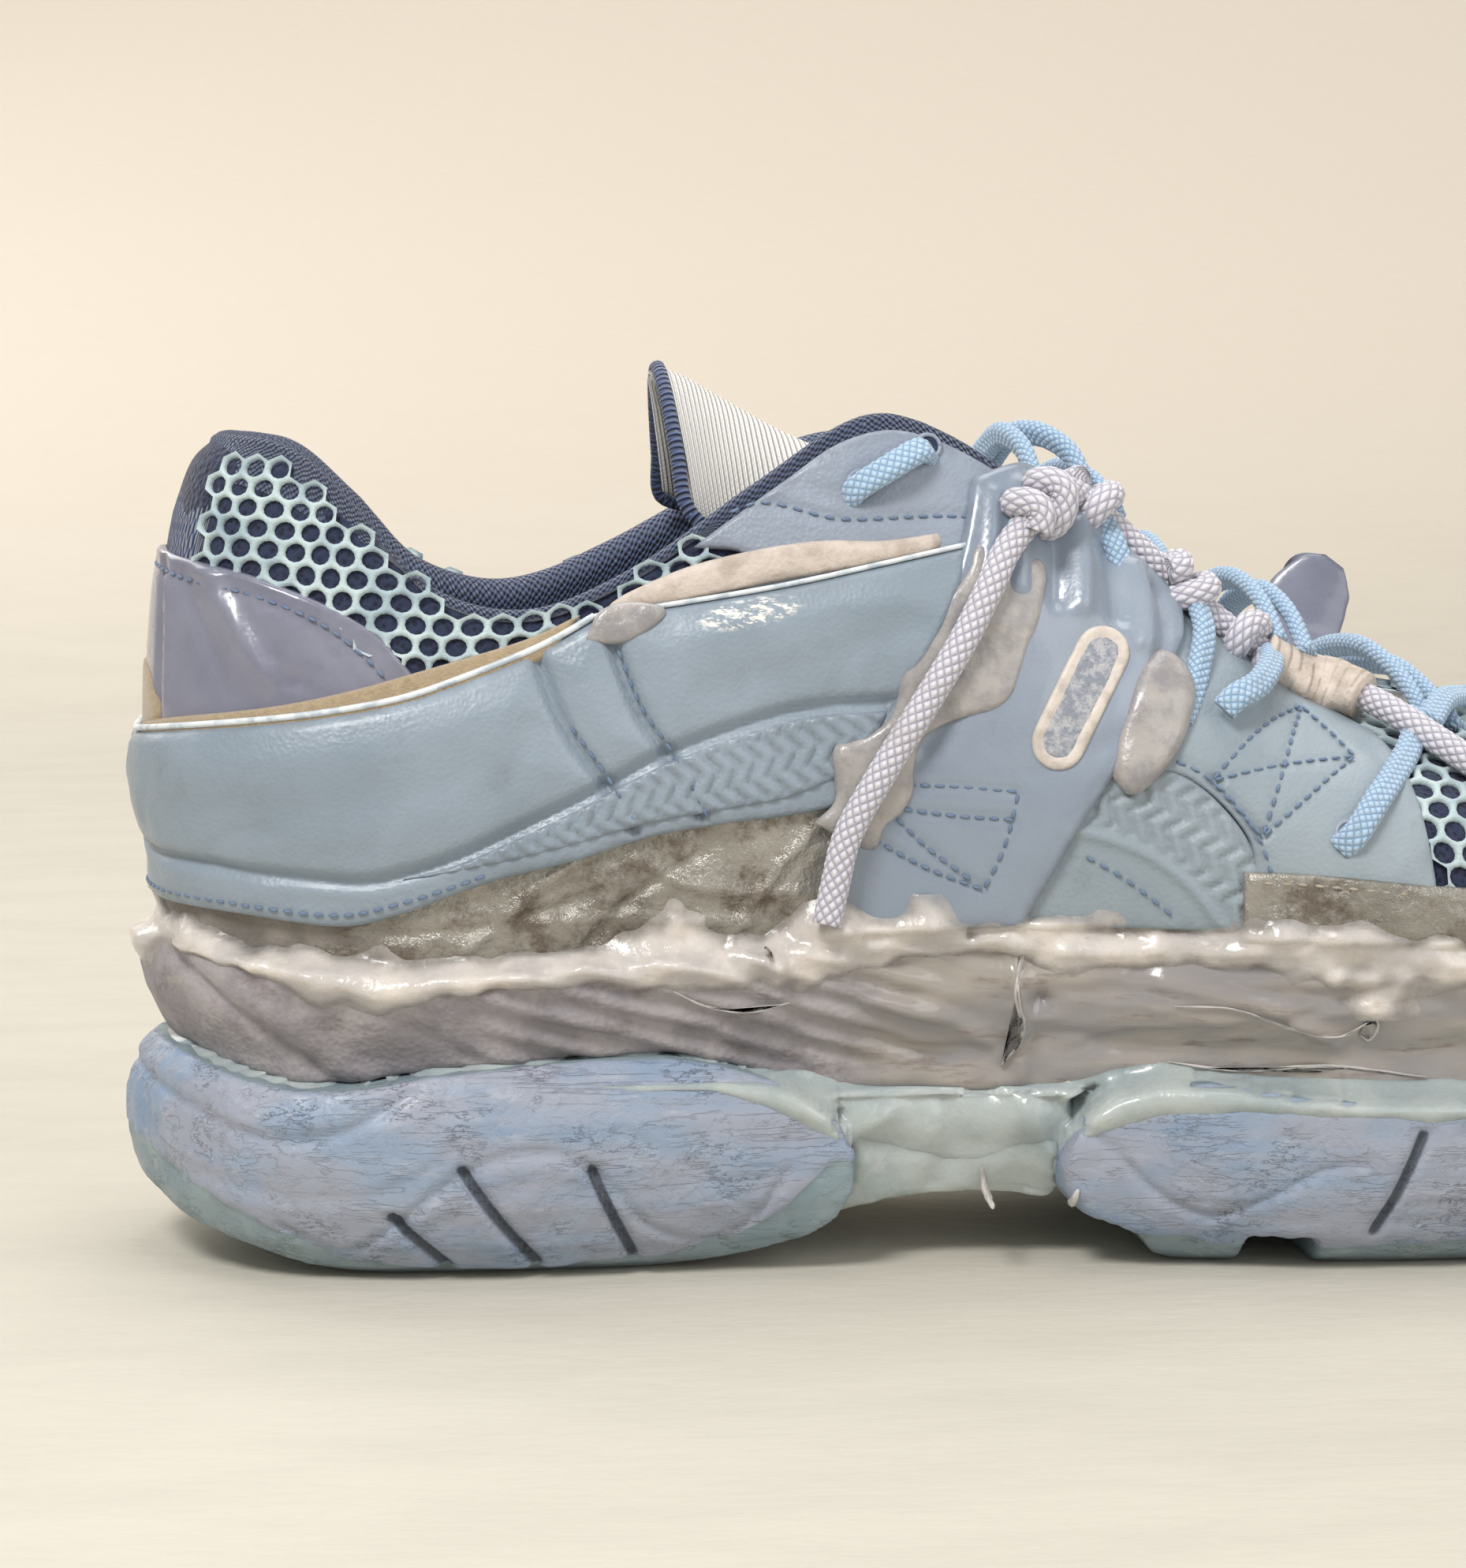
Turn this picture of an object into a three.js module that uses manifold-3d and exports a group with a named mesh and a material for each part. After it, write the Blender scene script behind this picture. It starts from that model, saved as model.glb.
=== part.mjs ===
// A worn low-top running sneaker for the right foot, lying open and unlaced by hand: hollow upper,
// padded tongue, insole, moulded quarter panel, midfoot straps, layered sole, laces and a glued-on tie cord.
// Millimetres, +Z up, +X towards the toe, -Y the outer (lateral) side. It stands on the floor at z = 0.
import * as THREE from "three";
import { mergeVertices } from "three/addons/utils/BufferGeometryUtils.js";
import Module from "manifold-3d";

// Driving dimensions
const length = 310; // sole, heel to toe
const ballWidth = 112; // sole, across the ball of the foot
const wall = 2.4; // upper: leather and mesh with its lining
const collarPadding = 3.6; // extra wall where the collar is padded
const gap = 0.3; // between pieces that touch
const laceRadius = 2.6;
const cordRadius = 2.5;
const stationsPerKey = 2;
const upperRows = 8;

const along = length / 310;
const across = ballWidth / 112;
const wasm = await Module();
wasm.setup();

// ---------- small geometry helpers ----------
const mix = (a, b, k) => a + (b - a) * k;
const clamp01 = (k) => Math.min(1, Math.max(0, k));
const smooth = (a, b, x) => {
  const k = clamp01((x - a) / (b - a));
  return k * k * (3 - 2 * k);
};

// y of a smooth curve through [x, y] points with rising x
function curveThrough(points) {
  return (x) => {
    const last = points.length - 1;
    const i = Math.min(last - 1, Math.max(0, points.findIndex((p) => p[0] > x) - 1));
    const k = x >= points[last][0] ? 1 : clamp01((x - points[i][0]) / (points[i + 1][0] - points[i][0]));
    const j = x >= points[last][0] ? last - 1 : i;
    const slope = (n) => {
      const a = points[Math.max(0, n - 1)];
      const b = points[Math.min(last, n + 1)];
      return (b[1] - a[1]) / (b[0] - a[0]);
    };
    const span = points[j + 1][0] - points[j][0];
    const [k2, k3] = [k * k, k * k * k];
    return (
      (2 * k3 - 3 * k2 + 1) * points[j][1] +
      (k3 - 2 * k2 + k) * span * slope(j) +
      (3 * k2 - 2 * k3) * points[j + 1][1] +
      (k3 - k2) * span * slope(j + 1)
    );
  };
}

// A closed loop through the lateral keys from heel to toe and back along the medial ones.
// side(t) runs from -1, the toe, along the lateral side to 0 at the heel and on to 1, the toe again.
function loopThrough(lateral, medial) {
  const back = medial.slice(1, -1).reverse();
  const curve = new THREE.CatmullRomCurve3([...lateral, ...back], true, "catmullrom", 0.5);
  return (side) => curve.getPoint(side <= 0 ? -side / 2 : side === 0 ? 0 : 1 - side / 2);
}

function surfaceFromGrid(grid, closed = false) {
  const rows = grid.length;
  const columns = grid[0].length;
  const positions = grid.flat().flatMap((p) => [p.x, p.y, p.z]);
  const index = [];
  for (let r = 0; r < rows - 1; r++) {
    for (let c = 0; c < (closed ? columns : columns - 1); c++) {
      const [a, b] = [r * columns + c, r * columns + ((c + 1) % columns)];
      index.push(a, a + columns, b, b, a + columns, b + columns);
    }
  }
  const geometry = new THREE.BufferGeometry();
  geometry.setAttribute("position", new THREE.Float32BufferAttribute(positions, 3));
  geometry.setIndex(index);
  const merged = mergeVertices(geometry, 1e-3);
  const triangles = [];
  for (let i = 0; i < merged.index.count; i += 3) {
    const [a, b, c] = [0, 1, 2].map((n) => merged.index.getX(i + n));
    if (a !== b && b !== c && c !== a) triangles.push(a, b, c);
  }
  merged.setIndex(triangles);
  merged.computeVertexNormals();
  return merged;
}

// Closes an open surface into a wall between two distances along its normals
function thicken(surface, outer, inner, settle = (p) => p) {
  const position = surface.getAttribute("position");
  const normal = surface.getAttribute("normal");
  const points = [];
  const at = (i, distance) => {
    const p = new THREE.Vector3().fromBufferAttribute(position, i);
    const n = new THREE.Vector3().fromBufferAttribute(normal, i);
    return settle(p.clone().addScaledVector(n, typeof distance === "function" ? distance(p) : distance));
  };
  for (let i = 0; i < position.count; i++) points.push(at(i, outer));
  for (let i = 0; i < position.count; i++) points.push(at(i, inner));
  const index = surface.index.array;
  const edges = new Map();
  const triangles = [];
  for (let i = 0; i < index.length; i += 3) {
    const [a, b, c] = [index[i], index[i + 1], index[i + 2]];
    triangles.push(a, b, c, a + position.count, c + position.count, b + position.count);
    for (const [p, q] of [[a, b], [b, c], [c, a]]) edges.set(`${p} ${q}`, [p, q]);
  }
  for (const [p, q] of edges.values()) {
    if (edges.has(`${q} ${p}`)) continue;
    triangles.push(q, p, p + position.count, q, p + position.count, q + position.count);
  }
  return closedGeometry(points, triangles);
}

function closedGeometry(points, triangles) {
  const geometry = new THREE.BufferGeometry();
  const numbers = points.flatMap((p) => [p.x, p.y, p.z]);
  geometry.setAttribute("position", new THREE.Float32BufferAttribute(numbers, 3));
  geometry.setIndex(triangles);
  return geometry;
}

// Stacks closed rings into a solid, with the first and last ring capped by strips across it
function loft(rings) {
  const count = rings[0].length;
  const triangles = [];
  for (let r = 0; r < rings.length - 1; r++) {
    for (let i = 0; i < count; i++) {
      const [a, b] = [r * count + i, r * count + ((i + 1) % count)];
      triangles.push(a, b, a + count, b, b + count, a + count);
    }
  }
  const cap = (start, flip) => {
    for (let i = 0; i < count / 2; i++) {
      const [a, b] = [start + i, start + i + 1];
      const [c, d] = [start + ((count - i - 1) % count), start + ((count - i) % count)];
      const faces = [[a, d, b], [b, d, c]];
      for (const [p, q, s] of faces) {
        if (p !== q && q !== s && s !== p) triangles.push(...(flip ? [p, s, q] : [p, q, s]));
      }
    }
  };
  cap(0, false);
  cap((rings.length - 1) * count, true);
  return closedGeometry(rings.flat(), triangles);
}

function solidOf(geometry) {
  const bare = geometry.clone();
  bare.deleteAttribute("normal");
  bare.deleteAttribute("uv");
  const merged = mergeVertices(bare, 1e-3);
  return new wasm.Manifold(
    new wasm.Mesh({
      numProp: 3,
      vertProperties: merged.getAttribute("position").array,
      triVerts: new Uint32Array(merged.index.array),
    }),
  );
}

function geometryOf(solid) {
  const mesh = solid.getMesh();
  const geometry = new THREE.BufferGeometry();
  geometry.setAttribute("position", new THREE.BufferAttribute(mesh.vertProperties, 3));
  geometry.setIndex(new THREE.BufferAttribute(mesh.triVerts, 1));
  return geometry;
}

// ---------- the last: one key section after another from heel to toe ----------
// foot: [x, lateral y, medial y] on the feather line; top: [x, lateral y, medial y, lateral z, medial z] on
// the collar, the throat or, from the ridge key on, the vamp's ridge; low and high: how far each section's handles
// stand out, and how far up or down they reach.
const ridgeKey = 14;
const lastKeys = [
  { foot: [9, 0, 0], top: [17, 0, 0, 143, 143], low: [6, 28], high: [11, 8] },
  { foot: [13, -17, 16.5], top: [20, -13, 13, 143.5, 143.5], low: [6, 28], high: [10, 9] },
  { foot: [26, -29.5, 28.5], top: [31, -22, 22, 141, 141], low: [5, 28], high: [8, 12] },
  { foot: [41, -34.5, 33], top: [42, -27, 27.5, 131, 131.5], low: [4, 24], high: [7, 14] },
  { foot: [55, -36.3, 34.5], top: [54, -30, 31, 118, 119], low: [3.5, 20], high: [6, 14] },
  { foot: [71, -36.8, 35], top: [70, -31.5, 33, 114.3, 115.5], low: [3, 20], high: [5.5, 14] },
  { foot: [90, -36.3, 34.2], top: [88, -31, 33, 121.5, 122], low: [3, 22], high: [6, 18] },
  { foot: [109, -36, 33.5], top: [108, -28.5, 31, 135, 133.5], low: [3, 26], high: [8, 22] },
  { foot: [127, -36.2, 33.5], top: [128, -25, 28, 146.5, 142.5], low: [3.5, 30], high: [11, 22] },
  { foot: [146, -37.5, 35], top: [147, -22, 25.5, 141, 138.5], low: [4, 32], high: [13, 20] },
  { foot: [167, -41, 38.5], top: [168, -21, 23.5, 124.5, 124.5], low: [4, 30], high: [15, 14] },
  { foot: [189, -45.5, 43.5], top: [190, -20.5, 22, 106, 109], low: [4, 26], high: [15, 9] },
  { foot: [209, -48.5, 48.5], top: [209, -19, 20, 95, 99], low: [4, 24], high: [16, 4] },
  { foot: [228, -49, 51], top: [227, -13, 15.5, 91.5, 95.5], low: [4, 24], high: [20, 2.5] },
  { foot: [247, -46, 50.5], top: [242, 4, 4, 93.5, 93.5], low: [3.5, 23], high: [28, 2] },
  { foot: [266, -39, 45], top: [259, 5.5, 5.5, 89.5, 89.5], low: [3.5, 21], high: [25, 2] },
  { foot: [283, -28, 35.5], top: [273, 6, 6, 83.5, 83.5], low: [3, 18], high: [20, 2] },
  { foot: [296, -13.5, 22], top: [283, 5.5, 5.5, 78, 78], low: [3, 15], high: [15, 2] },
  { foot: [303.5, 4.5, 4.5], top: [288, 4.5, 4.5, 74.5, 74.5], low: [3, 12], high: [10, 1.5] },
];

const featherPoints = [
  [-20, 57], [9, 57], [30, 55.2], [60, 54], [95, 56], [130, 58.4],
  [170, 58.8], [215, 57.4], [250, 55.8], [330, 55.4],
];
const featherZ = curveThrough(featherPoints);

function topOf(key, medial) {
  const [x, lateral, inner, lateralZ, innerZ] = key.top;
  return new THREE.Vector3(x * along, (medial ? inner : lateral) * across, medial ? innerZ : lateralZ);
}

const footOf = (key, medial) => new THREE.Vector3(key.foot[0] * along, key.foot[medial ? 2 : 1] * across, 0);
const footLoop = loopThrough(lastKeys.map((k) => footOf(k, false)), lastKeys.map((k) => footOf(k, true)));
const topLoop = loopThrough(lastKeys.map((k) => topOf(k, false)), lastKeys.map((k) => topOf(k, true)));
const handleKeys = lastKeys.map((k) => [new THREE.Vector3(...k.low, 0), new THREE.Vector3(...k.high, 0)]);
const lowLoop = loopThrough(handleKeys.map((h) => h[0]), handleKeys.map((h) => h[0]));
const highLoop = loopThrough(handleKeys.map((h) => h[1]), handleKeys.map((h) => h[1]));
const keySpan = lastKeys.length - 1;

function outwardAt(loop, side) {
  const step = 0.004;
  const ahead = loop(side + step > 1 ? side + step - 2 : side + step);
  const tangent = ahead.sub(loop(side - step < -1 ? side - step + 2 : side - step));
  return new THREE.Vector3(-tangent.y, tangent.x, 0).normalize();
}

function topAt(side) {
  if (Math.abs(side) * keySpan < ridgeKey) return topLoop(side);
  return topLoop(side).add(topLoop(-side)).multiplyScalar(0.5);
}

// The last's skin: side as in loopThrough, v from the feather line at 0 to the top edge at 1
function lastPoint(side, v) {
  const foot = footLoop(side);
  foot.z = featherZ(foot.x);
  const top = topAt(side);
  const out = outwardAt(footLoop, side);
  const [low, high] = [lowLoop(side), highLoop(side)];
  const key = Math.abs(side) * keySpan;
  const ridge = smooth(ridgeKey - 3, ridgeKey, key) * (1 - smooth(keySpan - 2, keySpan, key));
  const sideways = new THREE.Vector3(0, Math.sign(side) || 1, 0);
  const topOut = out.clone().lerp(sideways, ridge).normalize();
  const c1 = foot.clone().addScaledVector(out, low.x).setZ(foot.z + low.y);
  const c2 = top.clone().addScaledVector(topOut, high.x).setZ(top.z - high.y);
  const w = 1 - v;
  return foot
    .multiplyScalar(w * w * w)
    .addScaledVector(c1, 3 * w * w * v)
    .addScaledVector(c2, 3 * w * v * v)
    .addScaledVector(top, v * v * v);
}

// A smooth open curve through a list of [x, y, z]
function smoothCurve(points) {
  return new THREE.CatmullRomCurve3(points.map((p) => new THREE.Vector3(...p)), false, "catmullrom", 0.5);
}

// v at which a section passes height z
function rowAtHeight(side, z) {
  let [low, high] = [0, 1];
  for (let i = 0; i < 24; i++) {
    const middle = (low + high) / 2;
    if (lastPoint(side, middle).z < z) low = middle;
    else high = middle;
  }
  return (low + high) / 2;
}

// side value at which the skin passes x, on one side of the shoe, at a height
function sideAtX(x, sign, z) {
  let [low, high] = [0, 1];
  for (let i = 0; i < 24; i++) {
    const middle = (low + high) / 2;
    if (lastPoint(sign * middle, rowAtHeight(sign * middle, z)).x < x) low = middle;
    else high = middle;
  }
  return (sign * (low + high)) / 2;
}

const stationCount = keySpan * stationsPerKey;
const stations = [];
for (let i = -stationCount; i < stationCount; i++) stations.push(i / stationCount);

// ---------- upper ----------
function makeUpper() {
  const grid = [];
  for (let r = 0; r <= upperRows; r++) grid.push(stations.map((s) => lastPoint(s, r / upperRows)));
  const skin = surfaceFromGrid(grid, true);
  const padded = (p) => -(wall + collarPadding * smooth(178, 130, p.x) * smooth(24, 3, collarDrop(p)));
  const aboveSole = (p) => p.setZ(Math.max(p.z, featherZ(p.x)));
  return thicken(skin, 0, padded, aboveSole);
}

// how far a point of the skin lies below the collar's edge
const collarEdge = curveThrough(
  lastKeys.slice(1, 11).map((k) => [k.top[0] * along, k.top[3]]),
);
const collarDrop = (p) => Math.max(0, collarEdge(p.x) - p.z);

// ---------- overlays that stand proud of the upper ----------
const panelTop = curveThrough([
  [-20, 95.5], [3, 95.8], [22, 97], [47, 99.5], [60, 103], [73, 108],
  [84, 112.5], [96, 117], [113, 121], [130, 123.5], [160, 124],
]);
const panelBottom = curveThrough([
  [-20, 71.5], [3, 70], [10, 66.2], [24, 63.4], [40, 61.8],
  [56, 70], [86, 76.5], [112, 80.5], [130, 83], [160, 86],
]);
const counterTop = curveThrough([
  [-20, 125], [8, 124.5], [16, 121.5], [25, 119], [36, 114.6], [43.7, 109], [48, 104.2], [60, 104],
]);
const strapBack = curveThrough([
  [40, 113], [59, 116], [82, 121.2], [98, 128.5], [118, 139.5], [134, 144], [150, 147],
]);
const strapFront = curveThrough([
  [40, 145], [62, 148.5], [78, 160.5], [94, 170], [108, 176.5], [119, 176.5], [124, 171], [140, 166],
]);
const panelGap = 0.7;
const panelThickness = 3.2;
const strapThickness = 2.2;
const counterThickness = 1.6;

function makeQuarterPanel() {
  const columns = 30;
  const rows = 5;
  const grid = [];
  for (let r = 0; r <= rows; r++) {
    const row = [];
    for (let c = -columns; c <= columns; c++) {
      const sign = c < 0 ? -1 : 1;
      const reach = Math.abs(c) / columns;
      // The front edge follows the back of the strap, so each row ends at its own x
      let z = mix(panelBottom(128 * reach), panelTop(128 * reach), r / rows);
      const end = sideAtX(strapBack(z) - 4, sign, z);
      const side = end * reach;
      const x = lastPoint(side, rowAtHeight(side, z)).x;
      z = mix(panelBottom(x), panelTop(x), r / rows);
      row.push(lastPoint(side, rowAtHeight(side, z)));
    }
    grid.push(row);
  }
  return thicken(surfaceFromGrid(grid), panelGap + panelThickness, panelGap);
}

function makeHeelCounter() {
  const columns = 16;
  const rows = 3;
  const reachX = 48;
  const grid = [];
  for (let r = 0; r <= rows; r++) {
    const row = [];
    for (let c = -columns; c <= columns; c++) {
      const end = sideAtX(reachX * along, c < 0 ? -1 : 1, 102);
      const side = (end * Math.abs(c)) / columns;
      const onSkin = lastPoint(side, rowAtHeight(side, 105)).x;
      const z = mix(panelTop(onSkin) + panelGap, counterTop(onSkin), r / rows);
      row.push(lastPoint(side, rowAtHeight(side, z)));
    }
    grid.push(row);
  }
  return thicken(surfaceFromGrid(grid), panelGap + counterThickness, panelGap);
}

function makeStrap(sign) {
  const columns = 6;
  const rows = 9;
  const lowest = 66;
  const grid = [];
  for (let r = 0; r <= rows; r++) {
    const row = [];
    for (let c = 0; c <= columns; c++) {
      // the strap's top edge slopes down along the throat
      const highest = mix(136, 117, c / columns);
      const z = mix(lowest, highest, r / rows);
      const x = mix(strapBack(z), strapFront(Math.min(z, 122)), c / columns);
      const side = sideAtX(x, sign, z);
      row.push(lastPoint(side, rowAtHeight(side, z)));
    }
    grid.push(sign < 0 ? row.reverse() : row);
  }
  return thicken(surfaceFromGrid(grid), panelGap + strapThickness, panelGap);
}

function makeGlueBead() {
  const beadRise = 5.2;
  const grid = [];
  for (let r = 0; r <= 2; r++) {
    grid.push(
      stations.map((s) => {
        const base = lastPoint(s, 0).z;
        return lastPoint(s, rowAtHeight(s, base + mix(1, beadRise, r / 2)));
      }),
    );
  }
  return thicken(surfaceFromGrid(grid, true), panelGap + 2.6, panelGap);
}

// ---------- sole ----------
const soleKeys = [
  [0, 0, 0], [8, -22, 21], [20, -34.5, 33.5], [38, -41, 40],
  [62, -43.2, 41.8], [90, -42.6, 40], [118, -41.4, 37.8],
  [146, -42, 38.5], [176, -47, 44.5], [205, -52.3, 52],
  [230, -53.8, 56.6], [252, -50.8, 56.2], [272, -42.8, 50],
  [290, -30, 38.5], [303, -14, 24.5], [310, 5, 5],
];
const soleLoop = loopThrough(
  soleKeys.map(([x, lateral]) => new THREE.Vector3(x * along, lateral * across, 0)),
  soleKeys.map(([x, , medial]) => new THREE.Vector3(x * along, medial * across, 0)),
);

// A full-length block whose outline is set in by [inset, height] steps
function soleBlock(steps) {
  const count = 72;
  const rings = steps.map(([inset, z]) => {
    const ring = [];
    for (let i = 0; i < count; i++) {
      const side = i === 0 ? 0 : i <= count / 2 ? (-2 * i) / count : 2 - (2 * i) / count;
      ring.push(soleLoop(side).addScaledVector(outwardAt(soleLoop, side), -inset).setZ(z));
    }
    return ring;
  });
  return solidOf(loft(rings));
}

// A side view outline, pushed through the whole width
function sideCutter(points) {
  const shape = new THREE.Shape(points.map(([x, z]) => new THREE.Vector2(x * along, z)));
  const geometry = new THREE.ExtrudeGeometry(shape, { depth: 160, bevelEnabled: false });
  geometry.rotateX(Math.PI / 2);
  geometry.translate(0, 80, 0);
  return solidOf(geometry);
}

const rubberSteps = [
  [13, -0.01], [8, 2.5], [4, 7], [1, 14], [0, 21], [0.2, 28], [2, 33.5], [5, 37.5], [7, 40], [7, 50],
];
const foamSteps = [
  [9, 16], [8, 30], [7.6, 38], [5.6, 41.5], [3.4, 46], [2.6, 51], [3.4, 55.5], [4.6, 58], [5, 64],
];
const bridgeSteps = [[13, 6], [9, 12], [7, 18], [6.2, 26], [6.4, 38]];

const heelTop = [
  [4, 38], [12, 37], [20, 35], [30, 33.4], [40, 33.8], [52, 35.8],
  [66, 37], [80, 38], [93, 38], [103, 36.2], [110, 34], [116.5, 30.5],
];
const heelFront = [[121, 27], [123.8, 21.5], [124, 15], [121, 9.5], [116, 6]];
const heelBottom = [
  [108, 3.6], [99, 1.6], [90, 0], [42, 0], [36, 1], [24, 4.6], [14, 8], [4, 13.2], [-5, 20], [-5, 36],
];
const foreBack = [[172.3, 7], [164.3, 10], [161, 13.5], [159.8, 18.5], [162.5, 26], [168, 31]];
const foreTop = [
  [176, 33], [185, 33.2], [196, 31.4], [210, 30.2], [232, 30.2], [258, 32], [280, 36], [298, 42], [315, 46],
];
const foreBottom = [
  [315, 31], [305, 19.5], [295, 12.5], [283, 7], [270, 3.2], [262, 2],
  [262, 7], [246, 6], [246, 0], [238, 0], [222, 0], [204, 0],
  [204, 6.6], [191.4, 6.6], [191.4, 0], [181, 0], [176, 2], [172.3, 7],
];
const bridgeBottom = [[116.5, 9], [126, 10.2], [139, 12.2], [150, 12.5], [159, 11], [168, 8.5]];

function makeSole() {
  const heelPod = soleBlock(rubberSteps).intersect(sideCutter([...heelTop, ...heelFront, ...heelBottom]));
  const forePod = soleBlock(rubberSteps).intersect(sideCutter([...foreBack, ...foreTop, ...foreBottom]));
  const raise = ([x, z]) => [x, z + gap];
  const foamBase = [
    [-5, 38 + gap], ...heelTop.map(raise), [118.5, 31], [160, 31], [166, 31.3], ...foreTop.map(raise),
  ];
  const foamTop = [];
  for (let x = 315; x >= -5; x -= 10) foamTop.push([x, featherZ(x * along) - gap]);
  const foam = soleBlock(foamSteps).intersect(sideCutter([...foamBase, ...foamTop]));
  const front = heelFront.map(([x, z]) => [x + gap, z]);
  const bridgeOutline = [
    ...bridgeBottom.slice(1, 5),
    ...foreBack.slice(2, 5).map(([x, z]) => [x - 0.6, z]),
    [161, 30.4],
    [121.5, 30.4],
    ...front.slice(0, 4).map(([x, z]) => [x + 0.4, z]),
  ];
  const bridge = soleBlock(bridgeSteps).intersect(sideCutter(bridgeOutline));
  return { heelPod, forePod, foam, bridge };
}

function makeInsole() {
  const inset = wall + 1.3;
  const rings = [
    [inset + 0.4, 0.2],
    [inset, 1.2],
    [inset, 3.6],
    [inset + 1.2, 4.6],
  ].map(([d, rise]) =>
    stations.map((s) => {
      const p = footLoop(-s).addScaledVector(outwardAt(footLoop, -s), -d);
      return p.setZ(featherZ(p.x) + rise);
    }),
  );
  // The loft wants its rings to start at the toe and to run the same way as the sole's
  return loft(rings);
}

// ---------- tongue ----------
// near, centre and far point of each cross line, from under the vamp to the free end
const tongueRows = [
  [[246, -13, 82], [247, 4, 85.5], [246, 22, 82]],
  [[228, -18, 81.5], [229, 3.5, 90], [228, 24, 84]],
  [[209, -23, 85], [210, 2.5, 97], [209, 26, 88]],
  [[190, -25, 95], [190, 2, 108.5], [190, 28, 98]],
  [[168, -25, 108], [168, 2, 123.5], [168, 28, 109.5]],
  [[150, -25, 118], [149, 2, 134], [150, 27.5, 119.5]],
  [[128, -23, 121.5], [125, 2, 139], [128, 26, 123]],
  [[107, -21, 123.5], [104, 2, 144.5], [106, 25, 125]],
  [[92.5, -18.5, 124.5], [88.5, 2, 149.5], [91, 22, 127]],
];
const tongueThickness = 5;

function makeTongue() {
  const columns = 8;
  const rowsPerKey = 2;
  const lines = [0, 1, 2].map(
    (n) => smoothCurve(tongueRows.map((r) => r[n])),
  );
  const count = (tongueRows.length - 1) * rowsPerKey;
  const grid = [];
  for (let r = 0; r <= count; r++) {
    const [near, centre, far] = lines.map((l) => l.getPoint(r / count));
    const bow = centre.clone().multiplyScalar(2).addScaledVector(near, -0.5).addScaledVector(far, -0.5);
    const row = [];
    for (let c = 0; c <= columns; c++) {
      const k = c / columns;
      row.unshift(
        near
          .clone()
          .multiplyScalar((1 - k) * (1 - k))
          .addScaledVector(bow, 2 * k * (1 - k))
          .addScaledVector(far, k * k),
      );
    }
    grid.push(row);
  }
  return thicken(surfaceFromGrid(grid), 0, -tongueThickness);
}

// ---------- laces and tie cord ----------
function tube(points, radius, steps, sides = 8) {
  const shape = new THREE.Shape();
  for (let i = 0; i <= sides; i++) {
    const a = (2 * Math.PI * i) / sides;
    if (i === 0) shape.moveTo(radius, 0);
    else shape.lineTo(radius * Math.cos(a), radius * Math.sin(a));
  }
  const path = smoothCurve(points);
  return new THREE.ExtrudeGeometry(shape, { steps, bevelEnabled: false, extrudePath: path });
}

// [x, half width of the crossings, height at their ends, height over the tongue]
const laceRows = [
  [210, 13, 101.5, 104],
  [193, 15, 111, 115],
  [175, 16, 122, 127],
  [158, 17, 134.5, 139],
];
const laceCentreY = 3;

function makeLaces() {
  let laces = null;
  for (let i = 0; i < laceRows.length - 1; i++) {
    const [a, b] = [laceRows[i], laceRows[i + 1]];
    for (const sign of [-1, 1]) {
      const start = [a[0], laceCentreY + sign * a[1], a[2]];
      const middle = [(a[0] + b[0]) / 2, laceCentreY, (a[3] + b[3]) / 2];
      const end = [b[0], laceCentreY - sign * b[1], b[2]];
      const bar = solidOf(tube([start, middle, end], laceRadius, 4));
      laces = laces ? laces.add(bar) : bar;
    }
  }
  const [x, halfWidth, side, middle] = laceRows[0];
  const [near, far] = [laceCentreY - halfWidth, laceCentreY + halfWidth];
  const route = [[x, near, side], [x - 1, laceCentreY, middle - 1], [x, far, side]];
  const bar = solidOf(tube(route, laceRadius, 4));
  return geometryOf(laces.add(bar));
}

// From the glue above the sole up over the lateral strap, along the throat's edge and down the vamp to the glue
const cordRoute = [
  [118.5, -44, 61.5], [120, -43.6, 68], [122, -43.4, 76], [128, -43.6, 87],
  [135, -43, 98], [142, -41.4, 109], [147, -38.9, 118],
  [150, -36.6, 123.5], [153.5, -34, 127.5], [157.5, -30.8, 131.2],
  [162, -26.2, 133], [166, -22.4, 131.4], [169.5, -20.4, 128.6],
  [177, -20, 122], [184, -20.3, 115.5], [194.6, -20.5, 107],
  [203, -20.5, 102.2], [209.5, -20.8, 99.2], [216, -24.6, 96.8],
  [221, -30, 93.8], [226, -35, 90.2], [232, -39.5, 86],
  [239, -43.3, 80.6], [245, -46.4, 74.8], [249, -48.4, 68.5],
];

// ---------- the shoe ----------
const colours = {
  rubber: 0x8fa9c8, foam: 0x8a8791, glue: 0xd8d2c8, leather: 0x9fb4c4, strap: 0xa7b3cc,
  mesh: 0x3c4a6a, lining: 0xe9e6df,
  sock: 0x9a9aa0, lace: 0x9ccbe8, cord: 0xcfcbd6,
};

function material(colour, roughness, metalness = 0) {
  return new THREE.MeshStandardMaterial({ color: colours[colour], roughness, metalness });
}

const shoe = new THREE.Group();
function addPiece(name, geometry, finish) {
  const mesh = new THREE.Mesh(geometry, finish);
  mesh.name = name;
  shoe.add(mesh);
}

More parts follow.
